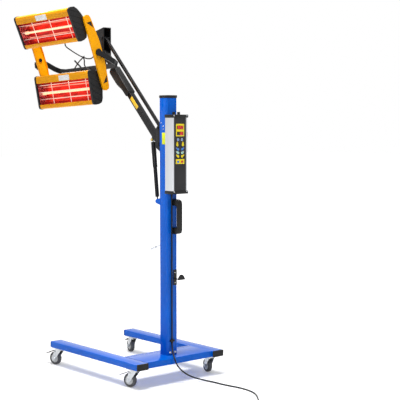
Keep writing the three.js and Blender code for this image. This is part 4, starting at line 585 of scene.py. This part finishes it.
def reflector(which):
    """Trough and end walls of the same bright sheet, in two materials whose red and pink colours are painted
    reflection of the glowing tube.
    """
    matrix = cassette_frame(which)
    to_cassette = tuple(matrix.to_3x3().inverted().to_euler())
    # Polished aluminium whose red colour, in long streaks, is a painted reflection of the emitter
    trough = coating(which + "_trough_painted_red_reflection", 0x7A0606, 0xE8241A, (0.14, 0.28), 7, 0.25, 9, metallic=0.7,
                     turn=to_cassette, stretch=STREAK)
    painted_emitter_reflections(trough, matrix)
    # Hammered aluminium: its dimples, about 6 mm wide, mix its own grey with a pink that is painted
    # reflection of the glow, and the swing from dark plum to pale pink across them is painted highlight and
    # shade
    wall = coating(which + "_hammered_wall_painted_light", 0x2C1A2A, 0xDDB4C4, (0.18, 0.3), 6, 1.2, 6, metallic=0.9,
                   turn=to_cassette, contrast=(-0.2, 1.1))
    piece = finish_node(which + "_reflector", trough, REFLECTOR_EDGE)
    piece.data.materials.append(wall)
    length_axis = (matrix.to_3x3() @ Vector((0, 1, 0))).normalized()
    for face in piece.data.polygons:
        face.material_index = 1 if abs(face.normal.dot(length_axis)) > END_WALL_SHARE else 0


for which in CASSETTES:
    reflector(which)


# Leads from each cassette to the tie and on behind the right bar, in the mast frame
LEAD_DIAMETER = 7
LEAD_STEPS = 8
TIE_POINT = (-141, 585, 1758)
LEADS = {
    "upper_cassette_lead": [(-222, 644, 1846), (-218, 652, 1832), (-203, 663, 1818), (-180, 651, 1799),
                            (-151, 605, 1767), TIE_POINT],
    "shared_lead": [TIE_POINT, (-133, 552, 1749), (-129, 519, 1751), (-128, 496, 1764), (-124, 470, 1792),
                    (-104, 470, 1822)],
    "lower_cassette_lead": [TIE_POINT, (-146, 623, 1732), (-150, 672, 1685), (-162, 672, 1668)],
    "lower_cassette_earth_lead": [TIE_POINT, (-137, 581, 1742), (-134, 583, 1714), (-132, 563, 1696),
                                  (-132, 530, 1684)],
}
TIE_TURN = 60
TIE_BAND = (11, 11, 4)
TIE_BAND_EDGE = 1.2
TIE_LOCK = (5, 3, 12)
TIE_LOCK_RISE = 7
TIE_LOCK_EDGE = 0.5


def cable_tie():
    """The band round the leads, with its lock."""
    bm = bmesh.new()
    matrix = Matrix.Translation(place(TIE_POINT)) @ turned(TIE_TURN, "X")
    block(bm, (0, 0, 0), mm(*TIE_BAND), matrix, TIE_BAND_EDGE * MM)
    block(bm, mm(0, 0, TIE_LOCK_RISE), mm(*TIE_LOCK), matrix, TIE_LOCK_EDGE * MM)
    put_shape("cable_tie", bm, black_nylon, "frame")


for name, points in LEADS.items():
    route = smooth_route([place(point) for point in points], LEAD_STEPS)
    cable(name, route, LEAD_DIAMETER, "frame")
cable_tie()


# Control panel: displays, keys and the start and stop plate, all printed or set on its face
panel_low, panel_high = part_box("control_panel")
PANEL_CENTRE = (panel_low.x + panel_high.x) / 2
CASE_TOP = 1417.5
FOIL_LIFT = 0.5
FOIL_EDGE = 0.3
WINDOW_THICKNESS = 0.6
# Fields of the panel: left, right, top and bottom, from its middle line and the case's top
DISPLAY_FRAME = (-27.8, 27.8, 32.6, 98.3)
DISPLAY_WINDOWS = ((-22.6, 22.6, 42.1, 61), (-22.6, 22.6, 74.3, 92.6))
START_STOP_PLATE = (-29.4, 29.4, 219, 244.6)
# Keys: across, down and radius
SET_KEYS = (13.3, 115.7, 7.2)
START_KEY = (-14.2, 233.1, 7)
STOP_KEY = (12.3, 233.1, 7)
# Each pair of keys: its finish, then the right key and the field of its pilot light
KEY_PAIRS = {
    "upper_yellow_keys": (ink_yellow, (18.8, 144, 7), (19, 130.5, 4.1)),
    "blue_keys": (ink_blue, (13.3, 167.3, 6.6), (24.4, 160.5, 3.6)),
    "mint_keys": (ink_mint, (13.4, 186, 6.6), (24.2, 179.3, 3.6)),
    "lower_yellow_keys": (ink_yellow, (13.4, 204.8, 6.6), (24, 198.2, 3.6)),
}
KEY_STEPS = 32
KEY_RISE = 1.0
KEY_BEVEL = 0.8
KEY_SIDE_SHARE = 0.6
KEY_CROWN_SHARE = 1.1
FIELD_LIFT = 0.9
FIELD_STEPS = 24
PLATE_PILOTS = (23, 223.4)
PILOT_RADIUS = 1.7
FIELD_PILOT_RISE = 0.4
PLATE_PILOT_RISE = 0.5
RIM_WIDTH = 1
RIM_RISE = 0.6
SET_CAP_LIFT = 0.4
SET_CAP_RISE = 0.6
ARROW_LIFT = 1.0
ARROW_THICKNESS = 0.3
ARROW_SIZE_SHARE = 0.4
ARROW_CORNER_SHARES = ((-1, -0.7), (1, -0.7), (0, 0.9))


def panel_point(across, down, lift=0.0):
    """A place on or before the panel's face, in metres, from its middle line and the case's top."""
    return Vector((PANEL_CENTRE + across * MM, panel_low.y - lift * MM, (CASE_TOP - down) * MM))


def plate(bm, left, right, top, bottom, lift, thickness):
    """A thin plate that stands before the panel's face by lift."""
    centre = panel_point((left + right) / 2, (top + bottom) / 2, lift + thickness / 2)
    block(bm, centre, mm(right - left, thickness, bottom - top), bevel=FOIL_EDGE * MM)


def key(bm, across, down, radius, lift, rise):
    """A round key with a bevelled shoulder and a slightly crowned face."""
    matrix = Matrix.Translation(panel_point(across, down)) @ turned(90, "X")
    profile = [(0, 0), (radius, 0), (radius, lift + rise * KEY_SIDE_SHARE),
               (radius - KEY_BEVEL, lift + rise), (0, lift + rise * KEY_CROWN_SHARE)]
    lathe(bm, profile, KEY_STEPS, matrix)


def key_field(bm, key_spot, pilot_spot, side):
    """A key's field, joined by a tapering neck to the round field of its pilot light."""
    verts = []
    for across, down, radius in (key_spot, pilot_spot):
        for i in range(FIELD_STEPS):
            angle = 2 * math.pi * i / FIELD_STEPS
            ray = Vector((math.cos(angle), 0, math.sin(angle))) * radius * MM
            for depth in (0, FIELD_LIFT):
                verts.append(bm.verts.new(panel_point(side * across, down, depth) + ray))
    hull = bmesh.ops.convex_hull(bm, input=verts)
    bmesh.ops.delete(bm, geom=hull["geom_interior"], context="VERTS")


def arrow(bm, across, down, size, up):
    """A plain three-cornered arrow that points up where up is 1 and down where it is -1."""
    corners = [(across + x * size, down - y * size * up) for x, y in ARROW_CORNER_SHARES]
    near, far = [[panel_point(x, y, lift) for x, y in corners]
                 for lift in (ARROW_LIFT, ARROW_LIFT + ARROW_THICKNESS)]
    prism(bm, near, far)


def foil_fields():
    """The yellow fields of the foil, and the two display windows on them."""
    bm = bmesh.new()
    plate(bm, *DISPLAY_FRAME, 0, FOIL_LIFT)
    plate(bm, *START_STOP_PLATE, 0, FOIL_LIFT)
    put_shape("yellow_foil_fields", bm, ink_yellow, "base")
    bm = bmesh.new()
    for window in DISPLAY_WINDOWS:
        plate(bm, *window, FOIL_LIFT, WINDOW_THICKNESS)
    put_shape("display_windows", bm, display_window, "base")


def paired_keys():
    """Four pairs of keys with their pilot lights, and the two lights of the start and stop plate."""
    pilots = bmesh.new()
    for name, (material, key_spot, pilot_spot) in KEY_PAIRS.items():
        bm = bmesh.new()
        for side in (-1, 1):
            key_field(bm, key_spot, pilot_spot, side)
            key(pilots, side * pilot_spot[0], pilot_spot[1], PILOT_RADIUS, FIELD_LIFT, FIELD_PILOT_RISE)
        put_shape(name, bm, material, "base")
    for side in (-1, 1):
        key(pilots, side * PLATE_PILOTS[0], PLATE_PILOTS[1], PILOT_RADIUS, FOIL_LIFT, PLATE_PILOT_RISE)
    put_shape("pilot_lights", pilots, ink_red, "base")


def set_start_and_stop_keys():
    """The two rimmed keys with arrows, and the two larger keys of the start and stop plate."""
    across, down, radius = SET_KEYS
    rims, caps, arrows, stop = bmesh.new(), bmesh.new(), bmesh.new(), bmesh.new()
    for side in (-1, 1):
        key(rims, side * across, down, radius, 0, RIM_RISE)
        key(caps, side * across, down, radius - RIM_WIDTH, SET_CAP_LIFT, SET_CAP_RISE)
        arrow(arrows, side * across, down, radius * ARROW_SIZE_SHARE, -side)
    key(caps, *START_KEY, FOIL_LIFT, KEY_RISE)
    key(stop, *STOP_KEY, FOIL_LIFT, KEY_RISE)
    put_shape("set_key_rims", rims, blank_label, "base")
    put_shape("set_and_start_keys", caps, ink_blue, "base")
    put_shape("set_key_arrows", arrows, ink_yellow, "base")
    put_shape("stop_key", stop, ink_red, "base")


# Lit figures of the two displays, of strokes named a to f from the top clockwise, with g in the middle
STROKES = {"0": "abcdef", "1": "bc", "9": "abcdfg"}
FIGURE_WIDTH = 6.2
FIGURE_HEIGHT = 12.5
FIGURE_SLANT = 0.12
STROKE = 1.5
STROKE_DEPTH = 0.5
STROKE_SINK = 0.1
# Each display: its figures, their places across the panel and their row
DISPLAYS = (("9900", (-14.5, -5, 6.5, 16), 51.5), ("100", (-4, 5.5, 15), 83.5))
COLON = ((0.8, 48.5), (0.8, 54.5))


def stroke(bm, across, down, width, height):
    """A lit bar that stands on a window, sunk into it a little."""
    lift = FOIL_LIFT + WINDOW_THICKNESS - STROKE_SINK + STROKE_DEPTH / 2
    block(bm, panel_point(across, down, lift), mm(width, STROKE_DEPTH, height))


def figure(bm, digit, across, down):
    """A plain figure of lit strokes that leans a little."""
    side, top = FIGURE_WIDTH / 2, FIGURE_HEIGHT / 2
    level = (FIGURE_WIDTH - STROKE, STROKE)
    upright = (STROKE, FIGURE_HEIGHT / 2 - STROKE)
    bars = {"a": (0, top, level), "g": (0, 0, level), "d": (0, -top, level),
            "f": (-side, top / 2, upright), "b": (side, top / 2, upright),
            "e": (-side, -top / 2, upright), "c": (side, -top / 2, upright)}
    for letter in STROKES[digit]:
        x, z, (width, height) = bars[letter]
        stroke(bm, across + x + z * FIGURE_SLANT, down - z, width, height)


def display_figures():
    bm = bmesh.new()
    for digits, places, down in DISPLAYS:
        for digit, across in zip(digits, places):
            figure(bm, digit, across, down)
    for across, down in COLON:
        stroke(bm, across, down, STROKE, STROKE)
    put_shape("display_figures", bm, lit_segment, "base")


foil_fields()
paired_keys()
set_start_and_stop_keys()
display_figures()


# Fasteners: one pattern sets a turned head at each marked point
SCREW_STEPS = 20
HEAD_SINK = 0.4
# Outline of a pan head and of its recess, as shares of their radius and of the head's height
PAN_SHARES = ((1, 0.45), (0.82, 0.85), (0.6, 1))
RECESS_SHARES = ((1, 1), (0.9, 0.35), (0, 0.3))


def screw_head(name, radius, height, recess):
    """A pan head with a round recess, standing on z = 0 and sunk a little below it."""
    profile = [(0, -HEAD_SINK), (radius, -HEAD_SINK)]
    profile += [(radius * across, height * up) for across, up in PAN_SHARES]
    profile += [(recess * across, height * up) for across, up in RECESS_SHARES]
    bm = bmesh.new()
    lathe(bm, profile, SCREW_STEPS, Matrix.Identity(4))
    return bpy.data.objects.new(name, mesh_from(bm, name))


def fastener_tree():
    """The pattern: a copy of the head at each point, turned to the point's axis and given the finish."""
    tree = bpy.data.node_groups.new("fastener_pattern", "GeometryNodeTree")
    tree.interface.new_socket("Geometry", in_out="INPUT", socket_type="NodeSocketGeometry")
    tree.interface.new_socket("Head", in_out="INPUT", socket_type="NodeSocketObject")
    tree.interface.new_socket("Finish", in_out="INPUT", socket_type="NodeSocketMaterial")
    tree.interface.new_socket("Geometry", in_out="OUTPUT", socket_type="NodeSocketGeometry")
    given = add(tree, "NodeGroupInput")
    head_shape = add(tree, "GeometryNodeObjectInfo", {"Object": given.outputs["Head"]})
    axis = add(tree, "GeometryNodeInputNamedAttribute", {"Name": "axis"}, data_type="FLOAT_VECTOR")
    turn = add(tree, "FunctionNodeAlignRotationToVector", {"Vector": axis.outputs["Attribute"]}, axis="Z")
    spread = add(tree, "GeometryNodeInstanceOnPoints", {
        "Points": given.outputs["Geometry"], "Instance": head_shape.outputs["Geometry"],
        "Rotation": turn.outputs["Rotation"]})
    real = add(tree, "GeometryNodeRealizeInstances", {"Geometry": spread.outputs["Instances"]})
    painted = add(tree, "GeometryNodeSetMaterial", {
        "Geometry": real.outputs["Geometry"], "Material": given.outputs["Finish"]})
    add(tree, "NodeGroupOutput", {"Geometry": painted.outputs["Geometry"]})
    return tree


fastener_pattern = fastener_tree()


def fasteners(name, body, head_shape, material, spots):
    """Sets a head at each (point, axis) and keeps the result as one plain mesh."""
    mesh = bpy.data.meshes.new(name + "_spots")
    mesh.from_pydata([tuple(point) for point, _ in spots], [], [])
    axes = mesh.attributes.new("axis", "FLOAT_VECTOR", "POINT")
    for item, (_, axis) in zip(axes.data, spots):
        item.vector = tuple(axis)
    marks = bpy.data.objects.new(name + "_spots", mesh)
    bpy.context.scene.collection.objects.link(marks)
    modifier = marks.modifiers.new("pattern", "NODES")
    modifier.node_group = fastener_pattern
    values = {"Head": head_shape, "Finish": material}
    for item in fastener_pattern.interface.items_tree:
        if item.in_out == "INPUT" and item.name in values:
            modifier[item.identifier] = values[item.name]
    graph = bpy.context.evaluated_depsgraph_get()
    result = bpy.data.meshes.new_from_object(marks.evaluated_get(graph))
    result.name = name
    bpy.data.objects.remove(marks)
    result.materials.clear()
    put(name, result, material, body, TURNED_SHARP_ANGLE)


small_screw = screw_head("small_screw_head", 3.2, 1.8, 1.4)
panel_screw = screw_head("panel_screw_head", 3.6, 2.0, 1.6)
large_bolt = screw_head("large_bolt_head", 7, 5, 3.4)

CASE_SCREW_X = 44
SWITCH_SCREW_INSET = 6
# On the mast's back: across and up
MAST_FOOT_BOLTS = ((-17, 150), (16, 150))
HOOK_SCREW = (16, 584)
HOOK_SCREW_PITCH = 54
HOOK_PLATE = 3.3


def controller_screws():
    spots = []
    for node in ("controller_top_cap", "controller_bottom_cap"):
        low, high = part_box(node)
        for x in (-CASE_SCREW_X, CASE_SCREW_X):
            spots.append((Vector((PANEL_CENTRE + x * MM, low.y, (low.z + high.z) / 2)), REAR))
    fasteners("controller_screws", "base", panel_screw, zinc, spots)


def switch_screws():
    """Four screws near the corners of the switch's square plate."""
    low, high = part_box("switch_plate")
    inset = SWITCH_SCREW_INSET * MM
    spots = [(Vector((high.x, y, z)), RIGHT) for y in (low.y + inset, high.y - inset)
             for z in (low.z + inset, high.z - inset)]
    fasteners("switch_screws", "base", small_screw, zinc, spots)


def mast_screws():
    back = -MAST_SIZE / 2
    spots = [(place((x, back, z)), REAR) for x, z in MAST_FOOT_BOLTS]
    fasteners("mast_foot_bolts", "base", large_bolt, zinc, spots)
    x, top = HOOK_SCREW
    spots = [(place((x, back - HOOK_PLATE, z)), REAR) for z in (top, top - HOOK_SCREW_PITCH)]
    fasteners("hook_screws", "base", small_screw, zinc, spots)


# Castor plates: a zinc-plated skin round the plate under each leg, with four bolts
CASTOR_PLACES = {"front_left": (-262.5, 665), "front_right": (262.5, 665),
                 "rear_left": (-262.5, -45), "rear_right": (262.5, -45)}
CASTOR_PLATE = (68, 72, 3.1)
CASTOR_PLATE_SKIN = 0.3
CASTOR_PLATE_EDGE = 0.6
CASTOR_TOP = 102
CASTOR_BOLT = (26, 28)


def castor_plates():
    bm = bmesh.new()
    spots = []
    width, length, thickness = CASTOR_PLATE
    size = mm(width + 2 * CASTOR_PLATE_SKIN, length + 2 * CASTOR_PLATE_SKIN, thickness)
    for x, y in CASTOR_PLACES.values():
        block(bm, place((x, y, CASTOR_TOP - thickness / 2)), size, bevel=CASTOR_PLATE_EDGE * MM)
        for a in (-1, 1):
            for b in (-1, 1):
                bolt = (x + a * CASTOR_BOLT[0], y + b * CASTOR_BOLT[1], CASTOR_TOP - thickness)
                spots.append((place(bolt), DOWN))
    put_shape("castor_plates", bm, zinc, "base")
    fasteners("castor_bolts", "base", small_screw, zinc, spots)


controller_screws()
switch_screws()
mast_screws()
castor_plates()


# Blank plates where the object carries printed ones
PLATE_THICKNESS = 0.7
PLATE_EDGE = 0.2
HOUSING_FRONT = -94
HOUSING_TOP = 97
OPENING_TOP = 55
# Where each housing's plates start and end along the cassette
PLATE_SPANS = {"upper": (-42, 50), "lower": (-65, 22)}
FRONT_PLATE_FROM_OPENING = 3
FRONT_PLATE_FROM_TOP = 9
TOP_PLATE_BACK = 28
TOP_PLATE_DEPTH = 30
ARM_ROOT = (0, 60, 1273.4)
ARM_RISE = 45.3
ARM_HALF_WIDTH = 15
# Along the arm, across it, length and width
ARM_PLATE = (313, 4, 82, 22)
# On the mast's left side: towards the front, up, width and height
MAST_PLATE = (-5, 1306.5, 26, 62)
MAST_SCREWS = ((15.8, 1389), (1.3, 1372), (-2.1, 1357))


def housing_plates(which):
    """Two plates on a cassette's housing: one on its front flange, one on its top."""
    left, right = PLATE_SPANS[which]
    middle, width = (left + right) / 2, right - left
    low, high = OPENING_TOP + FRONT_PLATE_FROM_OPENING, HOUSING_TOP - FRONT_PLATE_FROM_TOP
    matrix = cassette_frame(which)
    bm = bmesh.new()
    block(bm, mm(HOUSING_FRONT - PLATE_THICKNESS / 2, middle, (low + high) / 2),
          mm(PLATE_THICKNESS, width, high - low), matrix, PLATE_EDGE * MM)
    block(bm, mm(HOUSING_FRONT + TOP_PLATE_BACK, middle, HOUSING_TOP + PLATE_THICKNESS / 2),
          mm(TOP_PLATE_DEPTH, width, PLATE_THICKNESS), matrix, PLATE_EDGE * MM)
    put_shape(which + "_blank_plate", bm, blank_label, which + "_cassette")


def arm_plate():
    """A yellow plate on the left side of the lower arm."""
    along, across, length, width = ARM_PLATE
    bm = bmesh.new()
    arm = Matrix.Translation(place(ARM_ROOT)) @ turned(ARM_RISE, "X")
    block(bm, mm(-ARM_HALF_WIDTH - PLATE_THICKNESS / 2, along, across), mm(PLATE_THICKNESS, length, width),
          arm, PLATE_EDGE * MM)
    put_shape("arm_blank_plate", bm, yellow_label, "arm")


def mast_plate():
    """A lime plate on the left side of the mast, with three screws above it."""
    y, z, width, height = MAST_PLATE
    side = -MAST_SIZE / 2
    bm = bmesh.new()
    block(bm, place((side - PLATE_THICKNESS / 2, y, z)), mm(PLATE_THICKNESS, width, height),
          bevel=PLATE_EDGE * MM)
    put_shape("mast_blank_plate", bm, lime_label, "base")
    spots = [(place((side, y, z)), LEFT) for y, z in MAST_SCREWS]
    fasteners("mast_side_screws", "base", small_screw, zinc, spots)


for which in CASSETTES:
    housing_plates(which)
arm_plate()
mast_plate()


# Side bars: black plates just behind their three-cornered holes, painted shade that stands in for the dark
# inside the bar, and a bolt on each outer face
BAR_OUTER = 248
BAR_WALL = 2.5
# Corners of a hole, as up and back
BAR_HOLE = ((126, 20), (174, -26), (174, 9))
HOLE_SHADE_GAP = 0.2
HOLE_SHADE_THICKNESS = 1.4
# Back and up
BAR_BOLT = (10, -34)


# Black sheets just inside each bar's wall, behind its holes: painted shade in place of the dark hollow
def hole_shade_plates():
    outer = BAR_OUTER - BAR_WALL - HOLE_SHADE_GAP
    for side, name in ((1, "left_hole_backs"), (-1, "right_hole_backs")):
        bm = bmesh.new()
        for end in (1, -1):
            near, far = [[head_frame @ mm(back, side * depth, end * up) for up, back in BAR_HOLE]
                         for depth in (outer - HOLE_SHADE_THICKNESS, outer)]
            prism(bm, near, far)
        put_shape(name, bm, black_nylon, "frame")


def bar_bolts():
    back, up = BAR_BOLT
    spots = []
    for side in (-1, 1):
        outwards = head_frame.to_3x3() @ Vector((0, side, 0))
        spots.append((head_frame @ mm(back, side * BAR_OUTER, up), outwards))
    fasteners("bar_bolts", "frame", panel_screw, black_nylon, spots)


hole_shade_plates()
bar_bolts()


# Strut: the sleeve over the rod, which moves with it, and the heads of the pin on the arm
SLEEVE_STEPS = 40
SLEEVE_INNER = 11.6
SLEEVE_OUTER = 13
SLEEVE_LENGTH = 138
SLEEVE_DROP = 12
SLEEVE_TAPER = 2
SLEEVE_TAPER_HEIGHT = 3
SLEEVE_CAP = 2
ROD_HOLE = 4.4
EYE_RADIUS = 9
LUG_FACE = 9.3


def strut_sleeve():
    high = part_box("strut_rod")[1]
    axis = Vector(joint("strut_slide")["axis"]).normalized()
    foot = Vector(joint("strut_swing")["pos_m"])
    eye = foot + axis * ((high.z - EYE_RADIUS * MM - foot.z) / axis.z)
    top = -SLEEVE_DROP
    end = top - SLEEVE_LENGTH
    profile = [(SLEEVE_INNER, end), (SLEEVE_OUTER, end), (SLEEVE_OUTER, top - SLEEVE_TAPER_HEIGHT),
               (SLEEVE_OUTER - SLEEVE_TAPER, top), (ROD_HOLE, top), (ROD_HOLE, top - SLEEVE_CAP),
               (SLEEVE_INNER, top - SLEEVE_CAP), (SLEEVE_INNER, end)]
    bm = bmesh.new()
    lathe(bm, profile, SLEEVE_STEPS, Matrix.Translation(eye) @ laid_along(axis))
    bmesh.ops.remove_doubles(bm, verts=bm.verts, dist=MERGE * MM)
    put_shape("strut_sleeve", bm, black_coat, "strut_piston")
    aside = mm(LUG_FACE, 0, 0)
    fasteners("strut_pin_heads", "arm", large_bolt, yellow_zinc,
              [(eye - aside, LEFT), (eye + aside, RIGHT)])


strut_sleeve()


# Floor and backdrop: the floor fades to white between two distances from its middle
FLOOR_HALF_WIDTH_M = 30
FLOOR_DROP = 0.5
FLOOR_FADE_M = (1.3, 3.2)
FLOOR_GLOW = 0.2
WORLD_STRENGTH = 0.35


def seen_rays(tree):
    """One for the rays that show the background: camera, glossy and transmission."""
    path = add(tree, "ShaderNodeLightPath")
    seen = add(tree, "ShaderNodeMath", {0: path.outputs["Is Camera Ray"], 1: path.outputs["Is Glossy Ray"]},
               operation="MAXIMUM")
    return add(tree, "ShaderNodeMath", {0: seen.outputs[0], 1: path.outputs["Is Transmission Ray"]},
               operation="MAXIMUM").outputs[0]


def white_ground():
    """Matt pale floor: it keeps the shadows and turns pure white away from the object."""
    material, tree = blank("pale_floor")
    where = add(tree, "ShaderNodeTexCoord").outputs["Object"]
    distance = add(tree, "ShaderNodeVectorMath", {0: where}, operation="LENGTH")
    lift = add(tree, "ShaderNodeMapRange", {
        "Value": distance.outputs["Value"], "From Min": FLOOR_FADE_M[0], "From Max": FLOOR_FADE_M[1],
        "To Min": FLOOR_GLOW, "To Max": 1.0})
    strength = add(tree, "ShaderNodeMath", {0: seen_rays(tree), 1: lift.outputs["Result"]},
                   operation="MULTIPLY")
    matt = add(tree, "ShaderNodeBsdfDiffuse", {"Color": linear(0xF4F4F4)})
    bright = add(tree, "ShaderNodeEmission", {"Strength": strength.outputs[0]})
    both = add(tree, "ShaderNodeAddShader", {0: matt.outputs[0], 1: bright.outputs[0]})
    add(tree, "ShaderNodeOutputMaterial", {"Surface": both.outputs[0]})
    return material


def make_floor():
    bm = bmesh.new()
    bmesh.ops.create_grid(bm, x_segments=1, y_segments=1, size=FLOOR_HALF_WIDTH_M)
    mesh = bpy.data.meshes.new("floor")
    bm.to_mesh(mesh)
    bm.free()
    mesh.materials.append(white_ground())
    floor = bpy.data.objects.new("floor", mesh)
    floor.location.z = -FLOOR_DROP * MM
    bpy.context.scene.collection.objects.link(floor)


def make_world():
    """Soft light from all round, with white behind the object."""
    world = bpy.data.worlds.new("studio")
    bpy.context.scene.world = world
    world.use_nodes = True
    tree = world.node_tree
    tree.nodes.clear()
    soft = add(tree, "ShaderNodeBackground", {"Color": linear(0xFFFFFF), "Strength": WORLD_STRENGTH})
    white = add(tree, "ShaderNodeBackground", {"Color": linear(0xFFFFFF), "Strength": 1.0})
    mixed = add(tree, "ShaderNodeMixShader", {0: seen_rays(tree), 1: soft.outputs[0], 2: white.outputs[0]})
    add(tree, "ShaderNodeOutputWorld", {"Surface": mixed.outputs[0]})


# Studio lights: each one's place in metres, its power in watts and its width in metres
STUDIO_LIGHTS = {
    "overhead_light": ((-0.6, -0.4, 4.6), 230, 1.8),
    "key_light": ((-3.2, -3.4, 2.6), 34, 0.4),
    "rim_light": ((2.6, 3.2, 3.6), 40, 2.0),
}
LIGHTS_AIM_M = (0, 0, 1.1)


def make_lights():
    aim = Vector(LIGHTS_AIM_M)
    for name, (spot, watts, width) in STUDIO_LIGHTS.items():
        data = bpy.data.lights.new(name, "AREA")
        data.energy = watts
        data.size = width
        light = bpy.data.objects.new(name, data)
        light.location = spot
        light.rotation_mode = "QUATERNION"
        light.rotation_quaternion = (aim - Vector(spot)).to_track_quat("-Z", "Y")
        bpy.context.scene.collection.objects.link(light)


make_floor()
make_world()
make_lights()
bpy.context.scene.view_settings.view_transform = "Standard"
